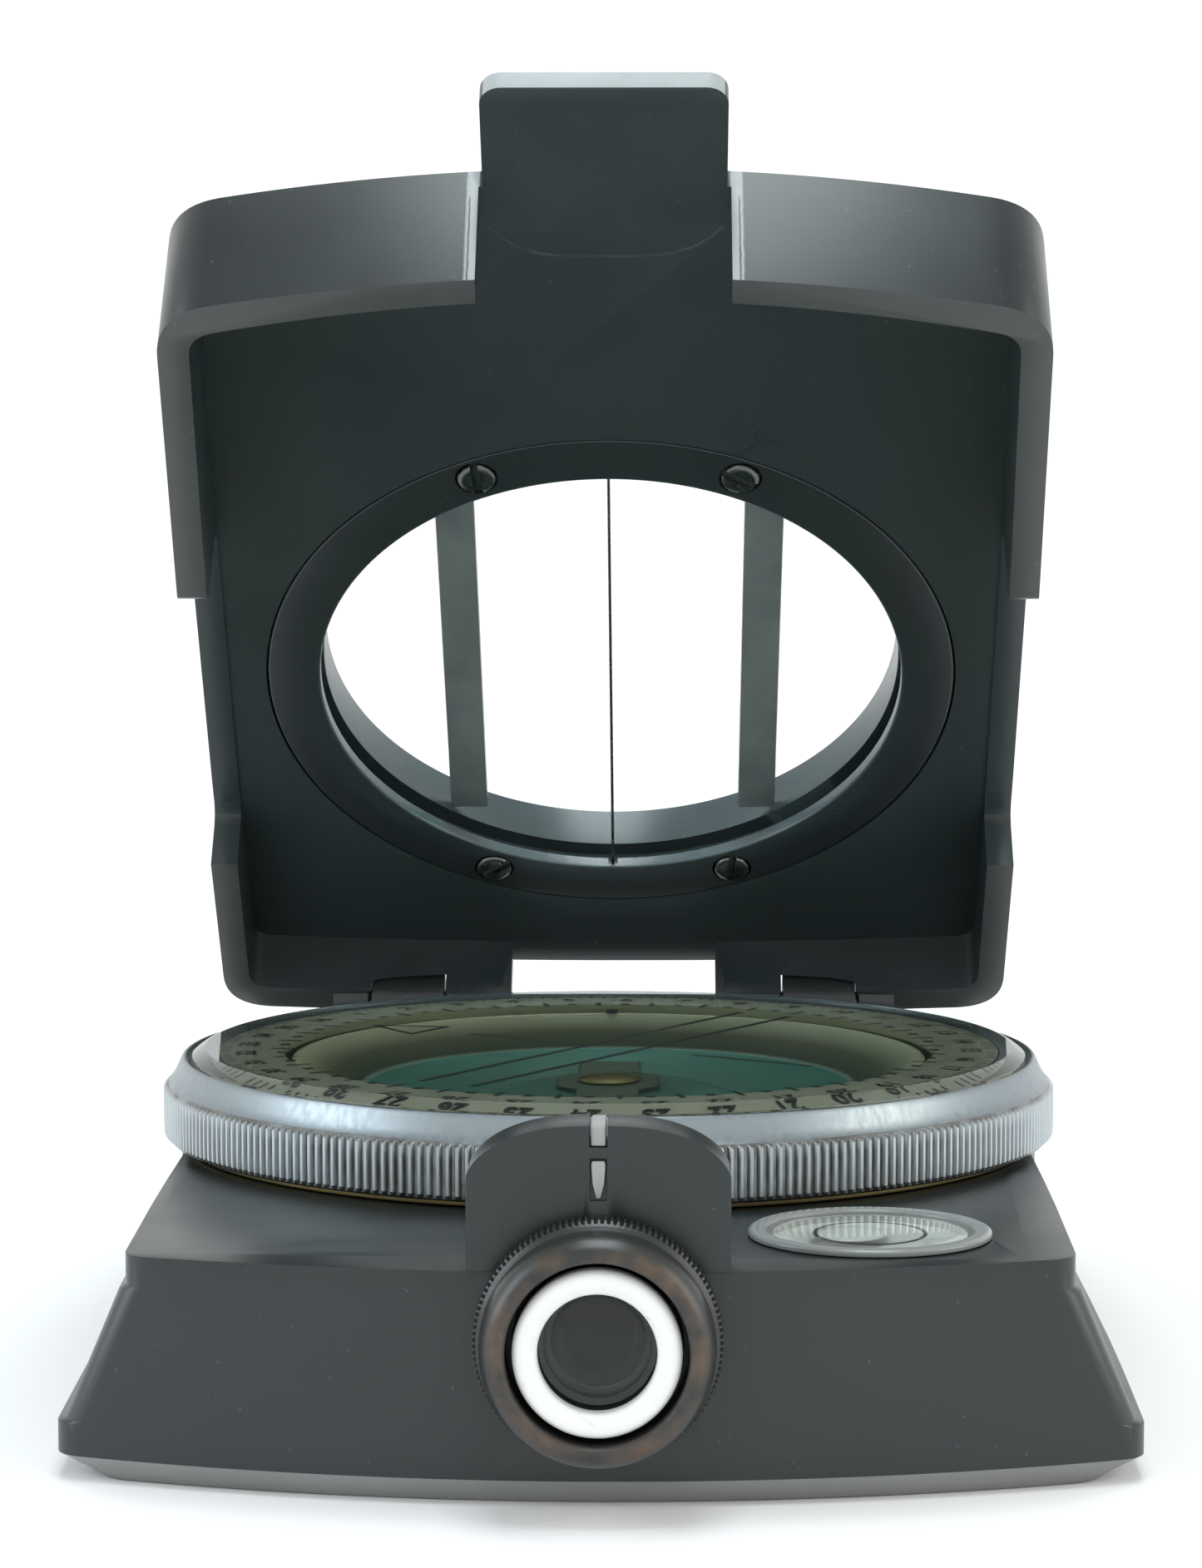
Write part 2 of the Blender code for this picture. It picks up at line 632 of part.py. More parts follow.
def tab_shape():
    root = LID_FRONT + 6.0
    outline = [(-TAB_HALF, root), (-TAB_HALF, TAB_END + 1.4)]
    for step in range(1, 4):
        angle = math.radians(90 * step / 4)
        outline.append((-TAB_HALF + 1.4 * (1 - math.cos(angle)), TAB_END + 1.4 * (1 - math.sin(angle))))
    outline += [(-TAB_HALF + 1.4, TAB_END), (TAB_HALF - 1.4, TAB_END)]
    for step in range(1, 4):
        angle = math.radians(90 * step / 4)
        outline.append((TAB_HALF - 1.4 * (1 - math.sin(angle)), TAB_END + 1.4 * (1 - math.cos(angle))))
    outline += [(TAB_HALF, TAB_END + 1.4), (TAB_HALF, root)]
    return prism(outline, PLATE_IN + 0.01, PLATE_OUT - 0.01)


def build_knuckles(lid, swing):
    for sign, tag in ((-1, "left"), (1, "right")):
        for near, far, place in ((8.7, 12.9, "inner"), (19.1, 21.8, "outer")):
            x0, x1 = sorted((sign * near, sign * far))
            barrel = turned([(0, x0), (2.2, x0), (2.2, x1), (0, x1)], 20)
            points = [(z, x, y) for x, y, z in barrel[0]]
            add(lid, make_cutter(f"knuckle_{place}_{tag}", points, barrel[1], swing))
        x0, x1 = sorted((sign * 12.9, sign * 19.1))
        cut(lid, make_cutter(f"lug_clear_{tag}", *box(x0, x1, -3.0, 10, -20, 2.85), swing))
        pin_hole = turned([(0, 8.0), (0.95, 8.0), (0.95, 21.4), (0, 21.4)], 14)
        points = [(sign * z, x, y) for x, y, z in pin_hole[0]]
        cut(lid, make_cutter(f"knuckle_hole_{tag}", points, pin_hole[1], swing))


def build_window(lid, swing):
    centre = (0, WINDOW_Y, 0)
    ring = make_object("window_ring", "black_coat", *turned(
        [
            (RING_IN_R, PLATE_IN + 0.02), (RING_OUT_R, PLATE_IN + 0.02),
            (RING_OUT_R, PLATE_IN + 1.02), (RING_IN_R, PLATE_IN + 1.02),
        ], 56, centre
    ), swing)
    cut(ring, make_cutter("wire_groove", *box(
        -0.35, 0.35, WINDOW_Y - 21.9, WINDOW_Y + 21.9, PLATE_IN + 0.3, PLATE_IN + 2.0
    ), swing))
    make_object("window_glass", "clear_glass", *turned(
        [(0, PLATE_IN + 1.2), (22.2, PLATE_IN + 1.2), (22.2, PLATE_IN + 2.2), (0, PLATE_IN + 2.2)],
        48, centre
    ), swing)
    wire = turned([(0, -21.7), (0.11, -21.7), (0.11, 21.7), (0, 21.7)], 8, (0, 0, 0), "Y")
    points = [(x, y + WINDOW_Y, z + PLATE_IN + 0.75) for x, y, z in wire[0]]
    make_object("sight_wire", "blackened_steel", points, wire[1], swing)
    number = 0
    for x_sign in (-1, 1):
        for y_sign in (-1, 1):
            number += 1
            angle = math.radians(SCREW_ANGLE_DEG)
            x = x_sign * SCREW_CIRCLE_R * math.cos(angle)
            y = WINDOW_Y + y_sign * SCREW_CIRCLE_R * math.sin(angle)
            cut(ring, make_cutter(f"ring_hole_{number}", *turned(
                [(0, 3.0), (1.5, 3.0), (1.5, PLATE_IN + 0.6), (0.65, PLATE_IN + 0.6), (0.65, 7.0), (0, 7.0)],
                16, (x, y, 0)
            ), swing))
            cut(lid, make_cutter(f"ring_thread_{number}", *turned(
                [(0, 5.0), (0.65, 5.0), (0.65, 8.6), (0, 8.6)], 10, (x, y, 0)
            ), swing))
            profile = [
                (0, PLATE_IN - 0.25), (1.1, PLATE_IN - 0.25), (1.35, PLATE_IN - 0.05),
                (1.35, PLATE_IN + 0.5), (0.5, PLATE_IN + 0.5), (0.5, 8.3), (0, 8.3),
            ]
            slotted_screw(f"ring_screw_{number}", profile, (x, y, 0), (3.0, PLATE_IN + 0.15),
                          0.35 + 1.1 * number, swing)
    for sign, tag in ((-1, "left"), (1, "right")):
        reach = math.sqrt(WINDOW_R ** 2 - (GUARD_X + GUARD_WIDTH / 2) ** 2) - 0.15
        x0 = sign * GUARD_X - GUARD_WIDTH / 2
        make_object("guard_bar_" + tag, "bright_alloy", *box(
            x0, x0 + GUARD_WIDTH, WINDOW_Y - reach, WINDOW_Y + reach, PLATE_IN + 2.5, PLATE_IN + 3.3
        ), swing)


def build_hinge_pins():
    for sign, tag in ((-1, "left"), (1, "right")):
        pin = turned([(0, 8.3), (0.85, 8.3), (0.85, 21.1), (0, 21.1)], 14)
        points = [(sign * z, x + HINGE_Y, y + HINGE_Z) for x, y, z in pin[0]]
        make_object("hinge_pin_" + tag, "steel", points, pin[1])


clear_scene()
PARTS = new_collection("sighting_compass", False)
CUTTERS = new_collection("cutters", True)
build_base()
build_cover()
build_capsule()
build_card()
build_bezel()
build_eyepiece()
build_bracket()
build_level()
build_lid()
build_hinge_pins()
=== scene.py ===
"""Sighting compass: the finished look of each part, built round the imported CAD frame.

Lengths are millimetres unless a name says otherwise, and become metres where a mesh is made.
"""

import json
import math

import bmesh
import bpy
from mathutils import Matrix, Vector


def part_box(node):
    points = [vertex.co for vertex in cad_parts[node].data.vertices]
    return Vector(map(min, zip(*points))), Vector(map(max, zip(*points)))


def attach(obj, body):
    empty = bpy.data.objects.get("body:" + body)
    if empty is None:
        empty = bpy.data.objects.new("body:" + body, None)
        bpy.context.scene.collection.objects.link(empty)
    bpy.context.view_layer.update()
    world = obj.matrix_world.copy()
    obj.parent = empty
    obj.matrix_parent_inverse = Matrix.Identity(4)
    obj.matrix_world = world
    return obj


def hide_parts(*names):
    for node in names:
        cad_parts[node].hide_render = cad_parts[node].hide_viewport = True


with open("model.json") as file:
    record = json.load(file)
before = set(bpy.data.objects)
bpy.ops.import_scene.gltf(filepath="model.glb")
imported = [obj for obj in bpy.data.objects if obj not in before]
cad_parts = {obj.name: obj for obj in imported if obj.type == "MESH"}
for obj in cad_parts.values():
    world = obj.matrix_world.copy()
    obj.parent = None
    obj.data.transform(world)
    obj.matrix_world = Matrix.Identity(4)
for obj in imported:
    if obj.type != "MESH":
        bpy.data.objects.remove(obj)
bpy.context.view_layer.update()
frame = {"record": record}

MM = 0.001
TAU = 2 * math.pi


def cad(node, corner, axis):
    """One coordinate of a CAD node's box in millimetres: corner 0 is the lowest, 1 the highest."""
    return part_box(node)[corner][axis] / MM


JOINTS = {joint["name"]: joint for joint in frame["record"]["behaviour"]["joints"]}
HINGE_Y, HINGE_Z = (c / MM for c in JOINTS["lid_hinge"]["pos_m"][1:])
HINGE_AT = (0, HINGE_Y, HINGE_Z)
LID_OPEN = -math.radians(JOINTS["lid_hinge"]["range_deg"][0])
LID_AT = Matrix.Translation(HINGE_AT) @ Matrix.Rotation(-LID_OPEN, 4, "X")

BASE_TOP = 14.0
FRONT_Y = -49.8
FRONT_BOW = 0.0059
BACK_Y = 38.199
BACK_BOW = 0.0030
BEZEL_R = cad("bezel_ring", 1, 0)
BEZEL_LOW = cad("bezel_ring", 0, 2)
KNURL_TOP = 18.3
CRYSTAL_R = cad("crystal", 1, 0)
CRYSTAL_LOW = cad("crystal", 0, 2)
CRYSTAL_TOP = cad("crystal", 1, 2)
EYE_Z = 10.2
EYE_AT = (0, 0, EYE_Z)
FOCUS_Y = cad("focus_ring", 1, 1)
FOCUS_R = 7.35
LEVEL_X, LEVEL_Y = 16.55, -37.8
PLATE_IN, PLATE_OUT = 4.4, 5.9
WINDOW_Y = -32.45
BARREL_R = 2.2
PIN_HOLE_R = 0.95
KNUCKLES = ((8.7, 12.9), (19.1, 21.8))
SLOT_CLEAR = 0.15
PANE_SIGHT_R = 21.05
SCREW_CIRCLE_R = 23.2
SCREW_CIRCLE_DEG = 66.8
RIBS = 298
FOCUS_RIBS = 120
COVER_SCREWS = ((-20.0, -33.0), (20.0, -33.0), (-20.0, 24.0), (20.0, 24.0))


# ---- shapes

def turned(profile, segments, centre=(0.0, 0.0, 0.0), axis="Z"):
    """Points and faces of a closed profile of (radius, height) pairs turned about an axis."""
    points, rows = [], []
    for radius, height in profile:
        if radius < 1e-6:
            rows.append([len(points)] * segments)
            points.append((0.0, 0.0, height))
            continue
        rows.append(list(range(len(points), len(points) + segments)))
        for step in range(segments):
            angle = TAU * step / segments
            points.append((radius * math.cos(angle), radius * math.sin(angle), height))
    return placed(points, centre, axis), ring_faces(rows)


def rod(radius, low, high):
    """The profile of a plain round bar or hole, for turned()."""
    return [(0, low), (radius, low), (radius, high), (0, high)]


def knurled(rows, rib, teeth):
    """Points and faces of a ribbed ring. A row's radius rises by its lift where the rib's share is 1."""
    points, table = [], []
    count = teeth * len(rib)
    for radius, height, lift in rows:
        table.append(list(range(len(points), len(points) + count)))
        for index in range(count):
            share, up = rib[index % len(rib)]
            angle = TAU * (index // len(rib) + share) / teeth
            r = radius + lift * up
            points.append((r * math.cos(angle), r * math.sin(angle), height))
    return points, ring_faces(table)


def ring_faces(rows):
    """Faces that join each row of points to the next, and the last row to the first."""
    faces = []
    for index, row in enumerate(rows):
        after = rows[(index + 1) % len(rows)]
        for step in range(len(row)):
            following = (step + 1) % len(row)
            corners = [row[step], row[following], after[following], after[step]]
            face = list(dict.fromkeys(corners))
            if len(face) > 2:
                faces.append(face)
    return faces


def placed(points, centre, axis):
    """Points turned from the Z axis onto another axis, then moved to a centre."""
    turn = {
        "Z": lambda x, y, z: (x, y, z),
        "Y": lambda x, y, z: (x, z, -y),
        "X": lambda x, y, z: (z, x, y),
    }[axis]
    return [tuple(a + b for a, b in zip(turn(*point), centre)) for point in points]


def soft(profile, radius, steps=3):
    """The profile with each corner off the axis rounded by up to this radius."""
    rounded = []
    count = len(profile)
    for index, corner in enumerate(profile):
        if corner[0] < 1e-6:
            rounded.append(corner)
            continue
        here = Vector(corner)
        before = Vector(profile[index - 1]) - here
        after = Vector(profile[(index + 1) % count]) - here
        reach = min(radius, before.length * 0.45, after.length * 0.45)
        start = here + before.normalized() * reach
        end = here + after.normalized() * reach
        for step in range(steps + 1):
            share = step / steps
            spot = start * (1 - share) ** 2 + here * 2 * share * (1 - share) + end * share ** 2
            rounded.append((max(spot.x, 0.0), spot.y))
    return rounded


def prism(outline, low, high):
    count = len(outline)
    points = [(x, y, low) for x, y in outline] + [(x, y, high) for x, y in outline]
    faces = [list(range(count))[::-1], list(range(count, 2 * count))]
    faces += [[i, (i + 1) % count, count + (i + 1) % count, count + i] for i in range(count)]
    return points, faces


def slab_x(outline, x0, x1):
    """A solid whose outline of (y, z) pairs runs from x0 to x1."""
    points, faces = prism(outline, x0, x1)
    return [(z, x, y) for x, y, z in points], faces


def slab_y(outline, near, far):
    """A solid whose outline of (x, z) pairs runs from near to far."""
    points, faces = prism(outline, -far, -near)
    return [(x, -z, y) for x, y, z in points], faces


def stacked(levels):
    """Points and faces of a solid through outlines of equal length, lowest first."""
    count = len(levels[0][1])
    points = [(x, y, height) for height, outline in levels for x, y in outline]
    faces = [list(range(count))[::-1]]
    for start in range(0, (len(levels) - 1) * count, count):
        faces += [
            [start + i, start + (i + 1) % count, start + count + (i + 1) % count, start + count + i]
            for i in range(count)
        ]
    faces.append(list(range(len(points) - count, len(points))))
    return points, faces


def box(x0, x1, y0, y1, z0, z1):
    return prism([(x0, y0), (x1, y0), (x1, y1), (x0, y1)], z0, z1)


def bowed(corners, bulges, fillet, steps=40, fillet_steps=12):
    """A four-sided outline whose sides bulge outwards and whose corners are rounded."""
    def on_side(side, share):
        (x0, y0), (x1, y1) = corners[side], corners[(side + 1) % 4]
        swell = 1 - (2 * share - 1) ** 2
        return (
            x0 + (x1 - x0) * share + bulges[side][0] * swell,
            y0 + (y1 - y0) * share + bulges[side][1] * swell,
        )

    outline = []
    for side in range(4):
        trim = fillet / math.dist(corners[side], corners[(side + 1) % 4])
        outline += [on_side(side, trim + (1 - 2 * trim) * i / steps) for i in range(steps + 1)]
        after = (side + 1) % 4
        start = outline[-1]
        end = on_side(after, fillet / math.dist(corners[after], corners[(after + 1) % 4]))
        for step in range(1, fillet_steps):
            t = step / fillet_steps
            outline.append(tuple(
                (1 - t) ** 2 * start[k] + 2 * t * (1 - t) * corners[after][k] + t ** 2 * end[k]
                for k in (0, 1)
            ))
    return outline


def raw(name, points, faces, matrix=None, smooth_deg=30.0):
    """An object made from points in millimetres, with its own clean mesh."""
    mesh = bpy.data.meshes.new(name)
    moved = [matrix @ Vector(p) if matrix else Vector(p) for p in points]
    mesh.from_pydata([p * MM for p in moved], [], faces)
    weld(mesh, 1e-8)
    obj = linked(name, mesh)
    crease(mesh, smooth_deg)
    return obj


def linked(name, data):
    obj = bpy.data.objects.new(name, data)
    bpy.context.scene.collection.objects.link(obj)
    return obj


def weld(mesh, distance):
    """Joins points that lie together, and turns every face outwards."""
    work = bmesh.new()
    work.from_mesh(mesh)
    bmesh.ops.remove_doubles(work, verts=work.verts, dist=distance)
    bmesh.ops.recalc_face_normals(work, faces=work.faces)
    work.to_mesh(mesh)
    work.free()


def crease(mesh, degrees):
    work = bmesh.new()
    work.from_mesh(mesh)
    limit = math.radians(degrees)
    for edge in work.edges:
        edge.smooth = len(edge.link_faces) == 2 and edge.calc_face_angle(0.0) < limit
    for face in work.faces:
        face.smooth = True
    work.to_mesh(mesh)
    work.free()


def settle(obj):
    """Applies the object's modifiers to its mesh."""
    graph = bpy.context.evaluated_depsgraph_get()
    mesh = bpy.data.meshes.new_from_object(obj.evaluated_get(graph))
    old = obj.data
    obj.modifiers.clear()
    obj.data = mesh
    mesh.name = obj.name
    bpy.data.meshes.remove(old)


def combine(obj, shape, operation, matrix=None):
    """Cuts a shape from the object, or joins it on."""
    tool = raw("tool", *shape, matrix)
    modifier = obj.modifiers.new("op", "BOOLEAN")
    modifier.operation = operation
    modifier.solver = "EXACT"
    modifier.object = tool
    settle(obj)
    bpy.data.objects.remove(tool)


def cut(obj, shape, matrix=None):
    combine(obj, shape, "DIFFERENCE", matrix)


def add(obj, shape, matrix=None):
    combine(obj, shape, "UNION", matrix)


def ease(obj, width, segments=3, worn=True):
    """Rounds the object's sharp edges, and gives the rounded strips the worn finish in slot 1."""
    work = bmesh.new()
    work.from_mesh(obj.data)
    bmesh.ops.remove_doubles(work, verts=work.verts, dist=2e-6)
    bmesh.ops.dissolve_limit(
        work, angle_limit=math.radians(0.4), verts=work.verts, edges=work.edges,
    )
    work.to_mesh(obj.data)
    work.free()
    modifier = obj.modifiers.new("edges", "BEVEL")
    modifier.width = width * MM
    modifier.segments = segments
    modifier.limit_method = "ANGLE"
    modifier.angle_limit = math.radians(28.0)
    modifier.use_clamp_overlap = True
    modifier.material = 1 if worn else -1
    modifier.miter_outer = "MITER_ARC"
    settle(obj)
    crease(obj.data, 40.0)


def finish_piece(obj, body, slot, materials, *nodes):
    """Gives a piece its finish, the body it rides on and the CAD nodes it stands for."""
    kept = [polygon.material_index for polygon in obj.data.polygons] if obj.type == "MESH" else []
    obj.data.materials.clear()
    for made in materials:
        obj.data.materials.append(made)
    for polygon, index in zip(obj.data.polygons if kept else (), kept):
        polygon.material_index = min(index, len(materials) - 1)
    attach(obj, body)
    if nodes:
        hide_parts(*nodes)


# ---- finishes

def fill(socket, value):
    """Sets a shader input. A colour is given as three numbers and made opaque here."""
    socket.default_value = (*value, 1.0) if socket.type == "RGBA" else value


def add_node(tree, kind, inputs=None, **settings):
    """A shader node whose inputs are set from plain values or linked from other nodes."""
    made = tree.nodes.new("ShaderNode" + kind)
    for key, value in settings.items():
        setattr(made, key, value)
    for key, value in (inputs or {}).items():
        if isinstance(value, bpy.types.NodeSocket):
            tree.links.new(value, made.inputs[key])
        else:
            fill(made.inputs[key], value)
    return made


def shade(tone, factor):
    return [c * factor for c in tone]


class Finish:
    """A material whose colour, roughness and relief come from nodes in the object's own space."""

    def __init__(self, name, **fixed):
        self.material = bpy.data.materials.new(name)
        self.material.use_nodes = True
        self.tree = self.material.node_tree
        self.shader = self.tree.nodes["Principled BSDF"]
        self.output = self.tree.nodes["Material Output"]
        for socket, value in fixed.items():
            fill(self.shader.inputs[socket.replace("_", " ")], value)
        self.place = self.node("TexCoord").outputs["Object"]

    def node(self, kind, inputs=None, **settings):
        return add_node(self.tree, kind, inputs, **settings)

    def stretch(self, scale):
        return self.node("Mapping", {"Vector": self.place, "Scale": scale}).outputs[0]

    def noise(self, scale, detail=3.0, rough=0.55, place=None):
        return self.node("TexNoise", {
            "Vector": place or self.place, "Scale": scale, "Detail": detail, "Roughness": rough,
        }).outputs["Fac"]

    def span(self, value, low, high, to_low=0.0, to_high=1.0):
        return self.node("MapRange", {
            "Value": value, "From Min": low, "From Max": high, "To Min": to_low, "To Max": to_high,
        }).outputs["Result"]

    def math(self, operation, a, b):
        return self.node("Math", {0: a, 1: b}, operation=operation, use_clamp=True).outputs[0]

    def times(self, a, b):
        return self.math("MULTIPLY", a, b)

    def free_math(self, operation, a, b=0.5):
        """Like math(), but free to leave the range 0 to 1."""
        return self.node("Math", {0: a, 1: b}, operation=operation).outputs[0]

    def axes(self):
        return self.node("SeparateXYZ", {0: self.place}).outputs

    def length(self, vector):
        return self.node("VectorMath", {0: vector}, operation="LENGTH").outputs["Value"]

    def off_axis(self):
        """Distance from the upright axis through the bezel's middle."""
        flat = self.node("VectorMath", {0: self.place, 1: (1.0, 1.0, 0.0)}, operation="MULTIPLY")
        return self.length(flat.outputs[0])

    def band(self, value, start, full, fading, end):
        """1 where a length lies between two soft edges given in millimetres, and 0 outside them."""
        rise = self.span(value, start * MM, full * MM)
        return self.times(rise, self.span(value, end * MM, fading * MM))

    def mix(self, share, a, b):
        return self.node("Mix", {0: share, 6: a, 7: b}, data_type="RGBA").outputs[2]

    def set(self, socket, value):
        self.tree.links.new(value, self.shader.inputs[socket])

    def bump(self, height, distance, strength=1.0, onto=None):
        inputs = {"Height": height, "Distance": distance, "Strength": strength}
        if onto:
            inputs["Normal"] = onto
        made = self.node("Bump", inputs).outputs[0]
        self.set("Normal", made)
        return made


def coat(name, tone, rough, wear=0.0, bare=(0.30, 0.31, 0.30), rubbed=None):
    """Satin black coating: fine grain, lint, soft blotches, and bare metal where it has rubbed off."""
    made = Finish(name, Specular_IOR_Level=0.5)
    grain = made.noise(5200.0, 2.0)
    blotch = made.noise(70.0, 4.0)
    drawn = made.noise(900.0, 3.0, place=made.stretch((0.06, 1.0, 1.0)))
    lint = made.span(made.noise(2600.0, 0.0), 0.83, 0.86)
    colour = made.mix(made.span(blotch, 0.12, 0.88), tone, shade(tone, 1.45))
    colour = made.mix(made.times(lint, 0.22), colour, (0.16, 0.18, 0.18))
    if wear:
        rub = made.math("ADD", made.times(made.noise(380.0, 5.0), 0.6),
                        made.times(made.noise(55.0, 2.0), 0.4))
        worn = made.span(rub, 0.62 - 0.22 * wear, 0.74 - 0.16 * wear)
        colour = made.mix(worn, colour, bare)
        made.set("Metallic", made.times(worn, 0.85))
    if rubbed:
        colour = rubbed(made, colour)
    made.set("Base Color", colour)
    made.set("Roughness", made.span(blotch, 0.12, 0.88, rough - 0.07, rough + 0.09))
    first = made.bump(grain, 0.00001, 0.35)
    made.bump(drawn, 0.000008, 0.35, first)
    return made.material


def metal(name, tone, rough, grime=None, tarnish=0.80, slope=None):
    """Bare or plated metal with fine marks, tarnish blotches and dirt held in its hollows."""
    made = Finish(name, Metallic=1.0)
    fine = made.noise(2400.0, 4.0, place=made.stretch((1.0, 1.0, 0.08)))
    patch = made.noise(140.0, 5.0)
    colour = made.mix(made.span(patch, 0.12, 0.88), tone, shade(tone, tarnish))
    if grime:
        low, high, dirt = grime
        reach = made.off_axis()
        rise = made.axes()[2]
        knurled = made.span(rise, KNURL_TOP * MM, (KNURL_TOP + 0.06) * MM, 1.0, 0.0)
        depth = made.times(made.span(reach, low * MM, high * MM, 1.0, 0.0), knurled)
        soil = made.times(depth, made.span(made.noise(420.0, 3.0), 0.25, 0.62, 0.35, 1.0))
        colour = made.mix(made.math("SUBTRACT", 1.0, knurled), colour, slope)
        colour = made.mix(soil, colour, dirt)
    made.set("Base Color", colour)
    made.set("Roughness", made.span(fine, 0.3, 0.7, rough - 0.07, rough + 0.10))
    made.bump(fine, 0.000006, 0.35)
    return made.material


def paint(name, tone, rough, spread=0.18, grain_scale=900.0):
    """Enamel or print: slightly uneven colour, a little grain."""
    made = Finish(name)
    cloud = made.noise(160.0, 4.0)
    fleck = made.noise(grain_scale, 3.0)
    dark = shade(tone, (1 - spread))
    colour = made.mix(made.span(cloud, 0.12, 0.88), tone, dark)
    colour = made.mix(made.span(fleck, 0.66, 0.76, 0.0, 0.5), colour, shade(tone, 0.6))
    made.set("Base Color", colour)
    made.set("Roughness", made.span(cloud, 0.12, 0.88, rough - 0.08, rough + 0.13))
    made.bump(fleck, 0.00001, 0.3)
    return made.material


def glass(name, tone, ior, rough=0.01, dust=True):
    """Clear glass that lets lamps through, with faint smears that dull its shine."""
    made = Finish(name, Transmission_Weight=1.0, IOR=ior, Base_Color=tone, Roughness=rough)
    if dust:
        smear = made.noise(90.0, 5.0, place=made.stretch((1.0, 0.3, 1.0)))
        speck = made.span(made.noise(3800.0, 0.0), 0.81, 0.84, 0.0, 0.15)
        made.set("Roughness", made.math("ADD", made.span(smear, 0.45, 0.75, rough, rough + 0.02), speck))
    clear = made.node("BsdfTransparent", {"Color": tone})
    path = made.node("LightPath")
    both = made.node("MixShader", {
        0: path.outputs["Is Shadow Ray"], 1: made.shader.outputs[0], 2: clear.outputs[0],
    })
    made.tree.links.new(both.outputs[0], made.output.inputs["Surface"])
    return made.material


def clear_film(name, tone):
    """A face that light passes straight through, where glass and damping oil meet."""
    made = Finish(name)
    clear = made.node("BsdfTransparent", {"Color": tone})
    made.tree.links.new(clear.outputs[0], made.output.inputs["Surface"])
    return made.material


def wall_marks(made, colour):
    """Lighter strips on the lid's front wall, beside the tab, each with a dark slit in it."""
    x, _, z = made.axes()
    side = made.free_math("ABSOLUTE", x)
    ragged = made.span(made.noise(1500.0, 3.0), 0.3, 0.7, -0.03 * MM, 0.03 * MM)
    edge = made.free_math("ADD", side, ragged)
    bare = made.times(made.band(edge, 8.05, 8.12, 8.82, 8.95), made.span(z, 72.3 * MM, 72.8 * MM))
    slit = made.times(made.band(edge, 8.58, 8.62, 8.70, 8.74), made.span(z, 78.6 * MM, 78.2 * MM))
    return made.mix(made.math("SUBTRACT", bare, slit), colour, (0.25, 0.28, 0.28))


def lid_marks(made, colour):
    """Rubbed lines on the lid: a crease across the tab and an arc on the plate."""
    x, _, z = made.axes()
    side = made.free_math("ABSOLUTE", x)
    patchy = made.span(made.noise(600.0, 3.0), 0.35, 0.65, 0.15, 1.0)
    crease_line = (74.84, 4.0, 5.5e5, 7.8, 0.055)
    plate_arc = (26.05, 2.0, 3.65, 28.0, 0.030)
    for height, power, curve, half, strength in (crease_line, plate_arc):
        bow = made.free_math("MULTIPLY", made.free_math("POWER", side, power), curve)
        off = made.free_math("SUBTRACT", made.free_math("SUBTRACT", z, bow), height * MM)
        near = made.free_math("ABSOLUTE", off)
        mark = made.times(made.span(near, 0.12 * MM, 0.02 * MM), patchy)
        mark = made.times(mark, made.span(side, half * MM, (half - 0.3) * MM))
        colour = made.mix(mark, colour, (strength, strength * 1.08, strength * 1.06))
    return colour


def eye_marks(made, colour):
    """Bronze showing through the black round the mouth of the eyepiece ring."""
    x, _, z = made.axes()
    rise = made.free_math("SUBTRACT", z, EYE_Z * MM)
    reach = made.length(made.node("CombineXYZ", {0: x, 2: rise}).outputs[0])
    mouth = made.band(reach, 5.3, 5.6, 6.1, 6.7)
    worn = made.times(mouth, made.span(made.noise(330.0, 4.0), 0.40, 0.62))
    return made.mix(worn, colour, (0.090, 0.058, 0.037))


COAT = coat("black_coat_satin", (0.0120, 0.0170, 0.0178), 0.32)
COAT_LID = coat("black_coat_lid", (0.0175, 0.0250, 0.0255), 0.30, rubbed=lid_marks)
COAT_WALL = coat("black_coat_wall", (0.0120, 0.0170, 0.0178), 0.29, rubbed=wall_marks)
# Light grey paint for the tab's end face: a painted highlight where the lamp above lights it.
TAB_END_PAINTED_HIGHLIGHT = paint("tab_end_painted_highlight", (0.38, 0.42, 0.43), 0.5, spread=0.25, grain_scale=700.0)
# Lighter coat for the base's downward bottom chamfer: a painted reflection of the bright floor.
COAT_FOOT_PAINTED_REFLECTION = coat("black_coat_foot_painted_reflection", (0.185, 0.190, 0.188), 0.36)
COAT_BORE = coat("black_coat_bore", (0.045, 0.066, 0.070), 0.26)
COAT_EDGE = coat("black_coat_edge", (0.020, 0.026, 0.027), 0.36, wear=0.55)
COAT_LID_EDGE = coat("black_coat_lid_edge", (0.024, 0.029, 0.030), 0.34,
                     wear=0.75, bare=(0.34, 0.37, 0.37))
# Lighter coat for the rims of the lid's walls: a painted highlight where the lamps catch them.
COAT_RIM_PAINTED_HIGHLIGHT = coat("black_coat_rim_painted_highlight", (0.046, 0.050, 0.050), 0.34)
COAT_RUBBED = coat("black_coat_rubbed", (0.016, 0.018, 0.017), 0.30, rubbed=eye_marks)
TUBE_BLACK = paint("tube_black_finish", (0.010, 0.013, 0.012), 0.42, spread=0.2, grain_scale=60.0)
COAT_BRIGHT = coat("black_coat_bright_edge", (0.10, 0.11, 0.11), 0.34,
                   wear=1.0, bare=(0.46, 0.49, 0.49))
COVER = coat("cover_black_finish", (0.017, 0.018, 0.019), 0.55)
ALLOY = metal("bright_alloy_knurl", (0.50, 0.55, 0.57), 0.34,
              grime=(30.80, 31.12, (0.13, 0.12, 0.10)), tarnish=0.94,
              slope=(0.27, 0.315, 0.335))
BRASS = metal("brass_aged", (0.20, 0.17, 0.075), 0.45)
STEEL = metal("steel_turned", (0.46, 0.49, 0.49), 0.30)
